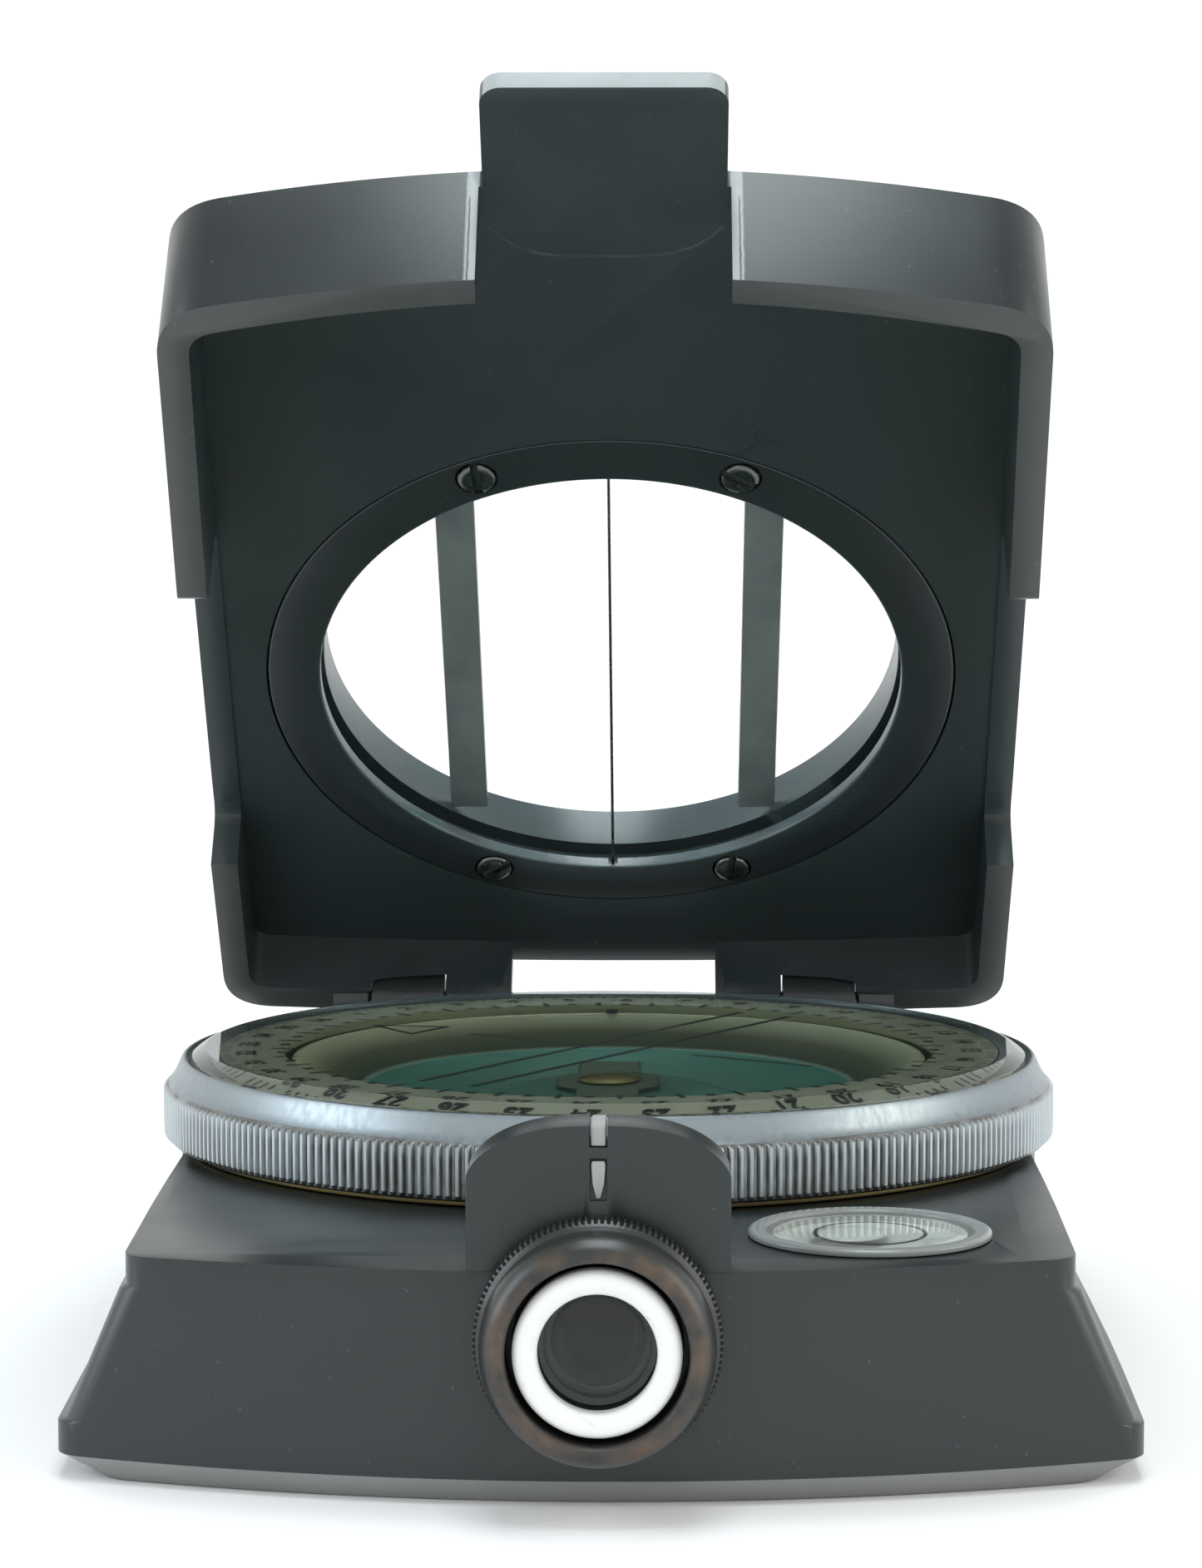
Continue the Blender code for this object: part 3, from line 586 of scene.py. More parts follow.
DARK_STEEL = metal("blackened_steel_finish", (0.15, 0.155, 0.15), 0.28)
WHITE = paint("white_paint_enamel", (0.86, 0.87, 0.85), 0.42, spread=0.07)
INDEX_WHITE = paint("index_white_worn", (0.40, 0.41, 0.40), 0.45, spread=0.25, grain_scale=2600.0)
PALE = paint("pale_enamel_disc", (0.50, 0.51, 0.49), 0.35, spread=0.10)
VIAL_RIM = paint("level_rim_grey", (0.25, 0.27, 0.265), 0.18, spread=0.15, grain_scale=300.0)
BLACK = paint("black_print", (0.006, 0.007, 0.007), 0.45)
RUBBER = paint("seal_rubber_finish", (0.012, 0.012, 0.012), 0.8)
PRINT_RING = paint("dial_print_ring", (0.190, 0.200, 0.150), 0.5, spread=0.2)
OLIVE = paint("capsule_olive_finish", (0.31, 0.33, 0.20), 0.5, spread=0.2)
HUB = paint("hub_bronze", (0.060, 0.092, 0.062), 0.5, spread=0.5, grain_scale=500.0)
CRYSTAL_GLASS = glass("clear_glass_crystal", (0.965, 0.99, 0.975), 1.25, rough=0.0)
CRYSTAL_BACK = clear_film("clear_glass_oil_face", (0.97, 0.99, 0.98))
PANE_GLASS = glass("clear_glass_pane", (0.995, 1.0, 0.998), 1.06, rough=0.0, dust=False)
LENS_GLASS = glass("clear_glass_lens", (0.90, 0.96, 0.93), 1.34, rough=0.0, dust=False)
VIAL_GLASS = glass("clear_glass_level", (0.97, 0.985, 0.975), 1.18, dust=False)
BUBBLE = paint("level_bubble_sheen", (0.40, 0.42, 0.41), 0.12, spread=0.1)
SMOKED = paint("guard_bar_dark", (0.200, 0.235, 0.230), 0.18, spread=0.5, grain_scale=1500.0)


# ---- base

def base_outline(half, inset):
    """The base seen from above: front and back bow outwards, by more where the base is wider."""
    front = FRONT_Y + FRONT_BOW * half ** 2 + inset
    back = BACK_Y - BACK_BOW * half ** 2 - inset
    corners = [(-half, front), (half, front), (half, back), (-half, back)]
    bulges = [(0, -FRONT_BOW * half ** 2), (0.5, 0), (0, BACK_BOW * half ** 2), (-0.5, 0)]
    return bowed(corners, bulges, 1.6, fillet_steps=8)


def lug(sign):
    """A hinge lug of the base: a round barrel on the pin's axis with a leg down to the base."""
    turns = [math.pi * i / 24 for i in range(25)]
    outline = [(HINGE_Y + BARREL_R * math.cos(a), HINGE_Z + BARREL_R * math.sin(a)) for a in turns]
    back, front = HINGE_Y + BARREL_R, HINGE_Y - BARREL_R
    outline += [(front, HINGE_Z), (front, 12.0), (back, 12.0)]
    x0, x1 = sorted((sign * 13.2, sign * 18.8))
    return slab_x(outline, x0, x1)


def make_base():
    levels = (
        (0.0, 30.2, 1.3), (1.5, 33.0, 0.0), (3.4, 33.0, 0.0), (3.6, 32.5, 0.0),
        (11.8, 29.0, 0.0), (12.1, 28.6, 0.0), (BASE_TOP, 28.6, 0.0),
    )
    base = raw("base_casting", *stacked([(z, base_outline(half, inset)) for z, half, inset in levels]))
    add(base, turned(rod(29.9, 6.0, BASE_TOP - 0.01), 192))
    for sign in (-1, 1):
        add(base, lug(sign))
        hole = rod(PIN_HOLE_R, *sorted((sign * 9.0, sign * 23.0)))
        cut(base, turned(hole, 32, HINGE_AT, "X"))
    cut(base, turned(rod(27.2, 2.2, 16.0), 192))
    cut(base, prism(cover_outline(0.2), -1.0, 1.5))
    for x, y in COVER_SCREWS:
        cut(base, turned(rod(0.95, 0.5, 4.4), 20, (x, y, 0)))
    cut(base, turned(rod(2.8, -58.0, -26.0), 64, EYE_AT, "Y"))
    cut(base, box(-5.75, 5.75, -60.0, FRONT_Y + 4.45, 5.15, 30.0))
    cut(base, turned(rod(6.9, 9.8, 16.0), 96, (LEVEL_X, LEVEL_Y, 0)))
    ease(base, 0.22)
    # Downward faces of the bottom chamfer get the lighter coat in slot 2: a painted reflection of the
    # floor.
    for polygon in base.data.polygons:
        if polygon.center.z < 1.6 * MM and -0.95 < polygon.normal.z < -0.2:
            polygon.material_index = 2
    finish_piece(base, "base", "black_coat", [COAT, COAT_EDGE, COAT_FOOT_PAINTED_REFLECTION], "base_body")


def cover_outline(grow):
    half, front, back = 24.0 + grow, -37.0 - grow, 28.0 + grow
    corners = [(-half, front), (half, front), (half, back), (-half, back)]
    return bowed(corners, [(0, 0)] * 4, 4.0 + grow, steps=1)


def slot_cutter(angle, centre, low, high):
    half, reach = 0.28, 3.0
    c, s = math.cos(angle), math.sin(angle)
    corners = [(-reach, -half), (reach, -half), (reach, half), (-reach, half)]
    outline = [(centre[0] + x * c - y * s, centre[1] + x * s + y * c) for x, y in corners]
    return prism(outline, low, high)


def make_cover():
    cover = raw("bottom_plate", *prism(cover_outline(0.0), 0.0, 1.4))
    for x, y in COVER_SCREWS:
        sink = [(0, -0.5), (2.1, -0.5), (2.1, 0.35), (1.0, 1.45), (1.0, 2.0), (0, 2.0)]
        cut(cover, turned(sink, 48, (x, y, 0)))
    ease(cover, 0.15, 2)
    finish_piece(cover, "base", "cover_black", [COVER, COAT_EDGE], "bottom_cover")
    for index, (x, y) in enumerate(COVER_SCREWS):
        profile = [(0, 0.1), (1.95, 0.1), (1.95, 0.35), (0.85, 1.45), (0.85, 4.2), (0, 4.2)]
        screw = raw(f"plate_screw_{index + 1}", *turned(soft(profile, 0.1), 48, (x, y, 0)))
        cut(screw, slot_cutter(0.6 * (index + 1), (x, y), -1.0, 0.65))
        crease(screw.data, 30.0)
        finish_piece(screw, "base", "blackened_steel", [DARK_STEEL], f"cover_screw_{index + 1}")


# ---- capsule and card

def lathe(name, profile, segments, body, slot, materials, nodes,
          radius=0.12, centre=(0, 0, 0), axis="Z", steps=3):
    """A finished piece turned from a profile whose corners are rounded."""
    obj = raw(name, *turned(soft(profile, radius, steps), segments, centre, axis), smooth_deg=40.0)
    finish_piece(obj, body, slot, materials, *nodes)


def make_capsule():
    cup = raw("capsule_bowl", *turned([
        (0, 2.35), (27.0, 2.35), (27.0, 16.2), (22.9, 16.2), (22.9, 3.4), (0, 3.4),
    ], 192))
    cut(cup, turned(rod(3.4, -29.0, -15.0), 48, EYE_AT, "Y"))
    cut(cup, turned(rod(0.85, 2.55, 6.0), 24))
    crease(cup.data, 35.0)
    finish_piece(cup, "base", "capsule_olive", [OLIVE], "capsule_cup")
    lathe("capsule_port", rod(3.25, -25.6, -24.4), 48, "base",
          "clear_glass", [LENS_GLASS], ["capsule_window"], centre=EYE_AT, axis="Y")
    low = cad("seat_ring", 0, 2)
    lathe("bezel_seat", [(27.35, low), (29.8, low), (29.8, 14.38), (27.35, 14.38)], 256, "base",
          "brass", [BRASS], ["seat_ring"], 0.08)
    lathe("pivot", [(0, 2.6), (0.75, 2.6), (0.75, 3.45), (0.4, 3.6), (0.4, 5.4), (0.06, 6.55), (0, 6.6)],
          32, "base", "steel", [STEEL], ["pivot_pin"], 0.05)
    lathe("rim_seal", [(23.4, 16.3), (23.9, 16.3), (23.9, 16.8), (23.4, 16.8)], 160, "base",
          "seal_rubber", [RUBBER], ["capsule_seal"], 0.2)


def make_card():
    profile = [(0.95, 4.5), (17.5, 4.5), (22.3, 15.4), (21.8, 15.4), (17.2, 5.0), (0.95, 5.0)]
    dish = raw("card_dish", *turned(soft(profile, 0.35, 4), 192), smooth_deg=50.0)
    finish_piece(dish, "card", "card_teal", [DISH], "compass_card")
    outer = [(-2.2, -9.0), (2.2, -9.0), (2.2, -3.6), (3.6, -2.2), (3.6, 2.2), (2.2, 3.6),
             (2.2, 9.0), (-2.2, 9.0), (-2.2, 3.6), (-3.6, 2.2), (-3.6, -2.2), (-2.2, -3.6)]
    bar = raw("magnet_bar", *prism(outer, 5.3, 6.5))
    cut(bar, turned(rod(1.6, 4.0, 8.0), 48))
    ease(bar, 0.25, 2, worn=False)
    finish_piece(bar, "card", "steel", [HUB], "card_magnet")
    lathe("pivot_cap", [
        (0.6, 3.75), (2.4, 3.75), (2.4, 4.25), (0.85, 4.25), (0.85, 6.85), (2.2, 6.85),
        (2.2, 7.2), (1.2, 7.6), (0, 7.7), (0, 6.8), (0.15, 6.75), (0.6, 5.6),
    ], 64, "card", "brass", [BRASS], ["jewel_cap"], 0.1)


def dish_finish():
    """Teal floor, olive wall with painted shade that darkens it towards the floor and leaves it pale at the
    rim, and a thin light line where they meet.
    """
    made = Finish("card_dish_enamel")
    height = made.span(made.axes()[2], 5.6 * MM, 15.2 * MM)
    reach = made.off_axis()
    cloud = made.noise(120.0, 4.0)
    # Colour by height: dark near the floor, pale olive at the rim, which is painted shade in the bowl's
    # depth.
    ramp = made.node("ValToRGB", {0: height})
    stops = ramp.color_ramp.elements
    stops[0].position, stops[0].color = 0.0, (0.035, 0.050, 0.030, 1.0)
    stops[1].position, stops[1].color = 1.0, (0.31, 0.33, 0.22, 1.0)
    middle = stops.new(0.45)
    middle.color = (0.070, 0.080, 0.044, 1.0)
    middle_teal, outer_teal = (0.040, 0.105, 0.080), (0.022, 0.125, 0.098)
    floor = made.mix(made.span(reach, 5.0 * MM, 17.0 * MM), middle_teal, outer_teal)
    floor = made.mix(made.span(cloud, 0.35, 0.7, 0.0, 0.5), floor, (0.055, 0.17, 0.13))
    seam = made.band(reach, 17.0, 17.15, 17.4, 17.55)
    colour = made.mix(made.span(reach, 17.25 * MM, 17.4 * MM), floor, ramp.outputs[0])
    colour = made.mix(made.times(seam, 0.7), colour, (0.16, 0.22, 0.18))
    made.set("Base Color", colour)
    made.set("Roughness", made.span(cloud, 0.3, 0.7, 0.42, 0.6))
    return made.material


DISH = dish_finish()


# ---- bezel, crystal and dial

def make_bezel():
    rib = ((0.0, 1.0), (0.30, 1.0), (0.48, 0.0), (0.78, 0.0))
    inner = CRYSTAL_LOW - 0.15
    rows = [(27.4, inner, 0.0), (27.4, BEZEL_LOW, 0.0), (30.5, BEZEL_LOW, 0.0),
            (30.72, BEZEL_LOW + 0.03, 0.0), (30.84, BEZEL_LOW + 0.15, 0.0)]
    foot, head = BEZEL_LOW + 0.22, KNURL_TOP - 0.12
    rows += [(30.84, foot, 0.05), (30.84, foot + 0.18, 0.29)]
    rows += [(30.84, foot + 0.18 + (head - foot - 0.40) * i / 4, BEZEL_R - 30.84) for i in range(1, 5)]
    rows += [(30.84, head, 0.08), (30.84, head + 0.03, 0.0)]
    slope = [(30.84, KNURL_TOP - 0.03), (30.70, KNURL_TOP + 0.10), (30.35, 18.95), (30.05, 19.62),
             (29.93, 19.90), (29.82, 20.03), (29.70, 20.08), (29.58, 20.05), (29.48, 19.95), (29.45, 19.8)]
    rows += [(r, z, 0.0) for r, z in slope] + [(29.45, inner + 0.05, 0.0), (29.40, inner, 0.0)]
    ring = raw("bezel_knurled", *knurled(rows, rib, RIBS), smooth_deg=24.0)
    finish_piece(ring, "bezel", "bright_alloy", [ALLOY], "bezel_ring")


def make_crystal():
    profile = [(0, CRYSTAL_LOW), (CRYSTAL_R, CRYSTAL_LOW), (CRYSTAL_R, CRYSTAL_TOP - 0.75)]
    profile += [(CRYSTAL_R - 0.08, CRYSTAL_TOP - 0.55), (CRYSTAL_R - 0.85, CRYSTAL_TOP - 0.05),
                (CRYSTAL_R - 1.05, CRYSTAL_TOP), (0, CRYSTAL_TOP)]
    crystal = raw("crystal_disc", *turned(profile, 256), smooth_deg=20.0)
    for polygon in crystal.data.polygons:
        polygon.use_smooth = abs(polygon.normal.z) < 0.999
        if polygon.normal.z < -0.9:
            polygon.material_index = 1
    finish_piece(crystal, "bezel", "clear_glass", [CRYSTAL_GLASS, CRYSTAL_BACK], "crystal")


PRINT_Z = CRYSTAL_LOW - 0.035
PRINT_THICK = 0.02
DIGIT_R = 25.35
NORTH_DEG = 57.5
LUBBER_IN = 20.6


def dial_point(radius, degrees_from_north, side=0.0):
    """A point on the dial in the bezel's own numbering, which runs clockwise from north."""
    angle = math.radians(90 + NORTH_DEG - degrees_from_north)
    along = Vector((math.cos(angle), math.sin(angle)))
    across = Vector((along.y, -along.x))
    return along * radius + across * side


def strip(start, end, width):
    across = (end - start).normalized()
    across = Vector((-across.y, across.x)) * width / 2
    outline = [tuple(p) for p in (start - across, end - across, end + across, start + across)]
    return prism(outline, PRINT_Z, PRINT_Z + PRINT_THICK)


def gather(name, shapes, body, slot, finish, *nodes):
    """One piece from many small shapes."""
    points, faces = [], []
    for shape_points, shape_faces in shapes:
        offset = len(points)
        points += list(shape_points)
        faces += [[offset + i for i in face] for face in shape_faces]
    finish_piece(raw(name, points, faces), body, slot, [finish], *nodes)


def make_dial():
    band = raw("number_band", *turned(soft([
        (22.8, 16.4), (23.1, 16.4), (23.1, 18.3), (27.3, 17.25), (27.3, 18.66), (22.8, 18.62),
    ], 0.04), 192), smooth_deg=40.0)
    for polygon in band.data.polygons:
        if math.hypot(*polygon.center[:2]) < 23.05 * MM and abs(polygon.normal.z) < 0.5:
            polygon.material_index = 1
    finish_piece(band, "bezel", "dial_print", [PRINT_RING, OLIVE], "number_ring")
    fine, long, short = (26.5, 27.2, 0.20), (22.0, 23.7, 0.34), (22.5, 23.2, 0.62)
    marks = [(tick * 2.0, fine) for tick in range(180) if tick % 5]
    marks += [(tick * 5.0, long if tick % 2 else short) for tick in range(72)]
    shapes = [strip(dial_point(inner, degrees), dial_point(outer, degrees), width)
              for degrees, (inner, outer, width) in marks]
    gather("dial_ticks", shapes, "bezel", "black_paint", BLACK)
    for number in range(36):
        digit_piece(number)


def digit_piece(number):
    """A printed number, drawn large so that its faces fill, then brought down to size."""
    text = bpy.data.curves.new("digits", "FONT")
    text.body = str(number or 36)
    text.size = 1.95
    text.align_x = text.align_y = "CENTER"
    text.extrude = PRINT_THICK / 2
    text.offset = 0.05
    text.resolution_u = 4
    drawn = linked("digits", text)
    bpy.context.view_layer.update()
    mesh = bpy.data.meshes.new_from_object(drawn.evaluated_get(bpy.context.evaluated_depsgraph_get()))
    bpy.data.objects.remove(drawn)
    bpy.data.curves.remove(text)
    spot = dial_point(DIGIT_R, number * 10.0)
    turn = Matrix.Rotation(math.radians(NORTH_DEG - number * 10.0), 4, "Z")
    mesh.transform(Matrix.Scale(MM, 4) @ Matrix.Translation((spot.x, spot.y, PRINT_Z)) @ turn)
    weld(mesh, 1e-7)
    mesh.name = f"dial_number_{number or 36}"
    finish_piece(linked(mesh.name, mesh), "bezel", "black_paint", [BLACK])


def make_pattern():
    """The lines on the crystal: two long bars, a broken line square to them and a north triangle."""
    north, east = dial_point(1.0, 0.0), dial_point(1.0, 90.0)
    shapes = []
    for offset in (-2.5, 1.7):
        shapes.append(strip(north * offset - east * 20.3, north * offset + east * 20.6, 0.56))
    shapes.append(strip(north * 6.1, north * 11.9, 0.50))
    shapes.append(strip(north * -7.0, north * -16.7, 0.50))
    tip, left, right = north * 20.4, north * 15.5 - east * 2.2, north * 15.5 + east * 2.2
    for start, end in ((tip, left), (left, right), (right, tip)):
        reach = (end - start).normalized() * 0.12
        shapes.append(strip(start - reach, end + reach, 0.46))
    gather("crystal_lines", shapes, "bezel", "black_paint", BLACK)
    lubber = raw("lubber_block", *box(-0.42, 0.42, LUBBER_IN, cad("lubber_mark", 1, 1),
                                      cad("lubber_mark", 0, 2), cad("lubber_mark", 1, 2)))
    finish_piece(lubber, "base", "black_paint", [BLACK], "lubber_mark")


# ---- eyepiece, bracket and level

def make_eyepiece():
    lathe("sight_tube", [
        (2.1, -27.4), (2.65, -27.4), (2.65, FRONT_Y + 4.35), (4.4, FRONT_Y + 4.3), (4.4, FRONT_Y - 0.45),
        (5.5, FRONT_Y - 0.45), (5.5, FRONT_Y - 2.1), (4.95, FRONT_Y - 2.1), (4.95, FRONT_Y - 1.0),
        (2.6, FRONT_Y - 1.0), (2.1, FRONT_Y + 0.4),
    ], 96, "base", "brass", [TUBE_BLACK], ["eyepiece_tube"], 0.08, EYE_AT, "Y")
    make_focus_ring()
    y = FOCUS_Y
    lathe("lens_mount", [
        (3.05, y - 1.1), (4.75, y - 1.1), (4.75, y - 3.15),
        (3.6, y - 3.15), (3.6, y - 1.26), (3.05, y - 1.22),
    ], 96, "lens", "black_coat", [COAT], ["lens_cell"], 0.05, EYE_AT, "Y")
    lathe("eye_ring_white", [
        (3.48, y - 3.3), (4.95, y - 3.3), (4.95, y - 4.4), (4.7, y - 4.8), (4.1, y - 4.9), (3.48, y - 4.5),
    ], 128, "lens", "white_paint", [WHITE], ["eye_ring"], 0.22, EYE_AT, "Y")
    turns = [math.pi / 2 * (8 - i) / 8 for i in range(9)]
    bulge = [(3.5 * math.sin(a), y - 2.1 - 0.6 * math.cos(a)) for a in turns]
    lathe("eye_lens_glass", [(0, y - 1.35), (3.5, y - 1.5)] + bulge[:-1] + [(0, y - 2.7)], 96, "lens",
          "clear_glass", [LENS_GLASS], ["eye_lens"], 0.01, EYE_AT, "Y", 1)


def make_focus_ring():
    """The black eyepiece ring: fine knurl at the back, smooth rounded rim in front."""
    y = FOCUS_Y
    rib = ((0.0, 1.0), (0.35, 1.0), (0.55, 0.0), (0.80, 0.0))
    back_face = [(5.75, y, 0), (6.9, y, 0), (7.10, y - 0.08, 0)]
    ribs = [(7.16, y - 0.2, 0.02), (7.16, y - 0.35, FOCUS_R - 7.16),
            (7.16, y - 1.65, FOCUS_R - 7.16), (7.16, y - 1.8, 0.02)]
    groove = [(7.12, y - 1.92, 0), (6.98, y - 2.02, 0), (6.84, y - 2.15, 0), (6.84, y - 2.35, 0)]
    rim = [(6.92, y - 2.5, 0), (6.94, y - 2.8, 0), (6.92, y - 3.4, 0), (6.82, y - 3.9, 0),
           (6.62, y - 4.35, 0), (6.35, y - 4.72, 0), (6.05, y - 4.95, 0), (5.75, y - 5.08, 0)]
    mouth = [(5.52, y - 5.06, 0), (5.40, y - 4.92, 0), (5.35, y - 4.7, 0), (5.35, y - 1.7, 0),
             (5.75, y - 1.7, 0)]
    points, faces = knurled(back_face + ribs + groove + rim + mouth, rib, FOCUS_RIBS)
    ring = raw("focus_ring_knurled", placed(points, EYE_AT, "Y"), faces, smooth_deg=40.0)
    finish_piece(ring, "focus", "black_coat", [COAT_RUBBED], "focus_ring")


def make_bracket():
    front, back = cad("index_bracket", 0, 1), cad("index_bracket", 1, 1)
    low, shoulder, top, half = 14.1, 19.6, 22.75, 7.8
    outline = [(-half, low), (-5.6, low), (-5.6, 5.3), (5.6, 5.3), (5.6, low), (half, low)]
    for step in range(61):
        share = -math.cos(math.pi * step / 60)
        height = shoulder + (top - shoulder) * max(0.0, 1 - abs(share) ** 2.6) ** 0.62
        outline.append((-half * share, height))
    bracket = raw("bracket_plate", *slab_y(outline, front, back))
    cut(bracket, turned(rod(4.55, -60.0, -40.0), 96, EYE_AT, "Y"))
    cut(bracket, box(-0.53, 0.53, -60.0, -40.0, 21.45, 30.0))
    cut(bracket, box(-0.5, 0.5, -60.0, front + 0.3, 18.3, 20.8))
    ease(bracket, 0.18)
    finish_piece(bracket, "base", "black_coat", [COAT, COAT_EDGE], "index_bracket")
    upper = raw("index_line_top", *box(-0.43, 0.43, front + 0.15, back - 0.2, 21.52, 22.72))
    ease(upper, 0.08, 2, worn=False)
    finish_piece(upper, "base", "white_paint", [INDEX_WHITE], "index_line_upper")
    taper = [(-0.12, 18.45), (0.12, 18.45), (0.34, 19.3), (0.42, 20.4), (0.36, 20.65), (-0.36, 20.65),
             (-0.42, 20.4), (-0.34, 19.3)]
    lower = raw("index_line_front", *slab_y(taper, front + 0.02, front + 0.24))
    ease(lower, 0.05, 2, worn=False)
    finish_piece(lower, "base", "white_paint", [INDEX_WHITE], "index_line_lower")


def make_level():
    at = (LEVEL_X, LEVEL_Y, 0)
    lathe("level_case", [
        (0, 10.0), (6.75, 10.0), (6.75, 14.05), (7.5, 14.05), (7.5, 14.35), (7.3, 14.5), (6.6, 14.5),
        (6.4, 14.35), (6.4, 11.2), (0, 11.2),
    ], 128, "base", "steel", [VIAL_RIM], ["level_cup"], 0.08, at)
    lathe("level_floor", [(0, 11.3), (6.25, 11.3), (6.25, 13.4), (6.05, 13.4), (6.05, 11.9), (0, 11.9)], 96,
          "base", "pale_enamel", [PALE], ["level_disc"], 0.05, at)
    turns = [math.pi / 2 * i / 10 for i in range(10)]
    dome = [(6.0 * math.cos(a), 14.2 + 0.32 * math.sin(a)) for a in turns]
    profile = [(0, 13.5), (6.0, 13.5)] + dome + [(0, 14.52)]
    vial = raw("level_glass", *turned(profile, 96, at), smooth_deg=40.0)
    for polygon in vial.data.polygons:
        if polygon.normal.z < -0.9:
            polygon.material_index = 1
    finish_piece(vial, "base", "clear_glass", [VIAL_GLASS, CRYSTAL_BACK], "level_vial")
    ring = [(3.25, 13.42), (3.5, 13.42), (3.5, 13.46), (3.25, 13.46)]
    lathe("level_circle", ring, 96, "base", "black_paint", [BLACK], [], 0.01, at, "Z", 1)
    turns = [math.pi * (i / 12 - 0.5) for i in range(13)]
    bubble = [(2.35 * math.cos(a), 13.0 + 0.42 * math.sin(a)) for a in turns]
    bubble = [(0.0 if r < 1e-4 else r, z) for r, z in bubble]
    lathe("level_bubble", bubble, 64, "base", "clear_glass", [BUBBLE], [],
          0.001, (LEVEL_X - 1.2, LEVEL_Y + 0.4, 0), "Z", 1)


# ---- lid

def lid_outline(inset):
    """The lid seen from above when closed, with y measured back from the hinge's axis."""
    half_back, half_front = 30.2 - inset, 28.7 - inset
    back = 0.3 - 0.9 - inset * 1.15
    front = -80.85 + 3.3 + inset
    corners = [(-half_front, front), (half_front, front), (half_back, back), (-half_back, back)]
    bulges = [(0, -3.3), (0.3, 0), (0, 0.9), (-0.3, 0)]
    return bowed(corners, bulges, max(3.6 - inset, 1.6))


def grip_bar():
    """The long bite out of each side wall, seen from the side, with its rounded lower corner."""
    back, front, low, high, rim = -17.9, -49.8, -20.0, PLATE_IN - 0.2, -4.35
    profile = [(back, low), (back, high - 1.2), (back - 0.35, high - 0.35), (back - 1.2, high),
               (front + 2.0, high), (front + 0.6, high - 0.6), (front, high - 2.0)]
    for step in range(9):
        angle = math.pi / 2 * step / 8
        profile.append((front - 2.2 * (1 - math.cos(angle)), rim + 2.2 - 2.4 * math.sin(angle)))
    profile.append((front - 2.2, low))
    return slab_x(profile, -45.0, 45.0)


def tab_outline():
    """The thumb tab seen from above, with its rounded outer corners."""
    half, end, root = 7.9, -88.85, -74.85
    left = [(-half + 1.4 * (1 - math.cos(a)), end + 1.4 * (1 - math.sin(a)))
            for a in [math.pi / 2 * i / 8 for i in range(9)]]
    right = [(-x, y) for x, y in reversed(left)]
    return [(-half, root)] + left + right + [(half, root)]


def lug_slot(x0, x1):
    """The room in the lid for one hinge lug: round in front of the pin, open below and behind."""
    radius, step_back, ceiling = 2.4, -0.7, 2.85
    end = math.acos(step_back / radius)
    outline = [(-radius, -20.0)]
    for step in range(17):
        angle = math.pi + (end - math.pi) * step / 16
        outline.append((radius * math.cos(angle), radius * math.sin(angle)))
    outline += [(step_back, ceiling), (10.0, ceiling), (10.0, -20.0)]
    return slab_x(outline, x0, x1)


def make_lid():
    """The lid, made closed and flat over its hinge, then swung up to the angle it rests at."""
    lid = raw("lid_cover", *prism(lid_outline(0.0), -4.35, PLATE_OUT), LID_AT)
    cut(lid, prism(lid_outline(2.0), -9.35, PLATE_IN), LID_AT)
    cut(lid, box(-40, 40, -18.9, 10, -20, -0.8), LID_AT)
    cut(lid, grip_bar(), LID_AT)
    cut(lid, box(-8.15, 8.15, -90.85, -77.25, -20, PLATE_IN + 0.003), LID_AT)
    add(lid, prism(tab_outline(), PLATE_IN + 0.01, PLATE_OUT - 0.01), LID_AT)
    cut(lid, box(-7.95, 7.95, -4.0, 10, -20, PLATE_IN - 0.05), LID_AT)
    make_hinge(lid)
    make_window_seat(lid)
    ease(lid, 0.2)
    mark_worn(lid)
    finish_piece(lid, "lid", "black_coat", list(LID_LOOKS.values()), "lid_shell")


def make_hinge(lid):
    """The lid's knuckles, the hole through them for the pin, and a slot for each lug of the base."""
    for sign in (-1, 1):
        for near, far in KNUCKLES:
            barrel = rod(BARREL_R, *sorted((sign * near, sign * far)))
            add(lid, turned(barrel, 48, axis="X"), LID_AT)
        hole = rod(PIN_HOLE_R, *sorted((sign * 8.0, sign * 21.4)))
        cut(lid, turned(hole, 32, axis="X"), LID_AT)
        x0, x1 = sorted((sign * KNUCKLES[0][1], sign * KNUCKLES[1][0]))
        cut(lid, lug_slot(x0 + SLOT_CLEAR, x1 - SLOT_CLEAR), LID_AT)


def make_window_seat(lid):
    """The raised rim round the window, the stepped bore for ring and pane, and the screw holes."""
    centre = (0, WINDOW_Y, 0)
    rim = [(0, 4.9), (27.2, 4.9), (27.2, 6.2), (26.75, 6.6),
           (26.6, 9.2), (26.35, 9.75), (25.8, 10.0), (0, 10.0)]
    add(lid, turned(rim, 192, centre), LID_AT)
    bore = [(0, 0.0), (25.15, 0.0), (25.15, 5.55), (22.35, 5.55), (22.35, 6.75),
            (PANE_SIGHT_R, 6.75), (PANE_SIGHT_R, 12.0), (0, 12.0)]
    cut(lid, turned(bore, 192, centre), LID_AT)
    for x, y in ring_screw_places():
        cut(lid, turned(rod(0.65, 5.0, 8.6), 24, (x, y, 0)), LID_AT)


LID_LOOKS = {
    "plate": COAT_LID,
    "edges": COAT_LID_EDGE,
    "tab_end": TAB_END_PAINTED_HIGHLIGHT,
    "bore": COAT_BORE,
    "rim": COAT_RIM_PAINTED_HIGHLIGHT,
    "front_wall": COAT_WALL,
}


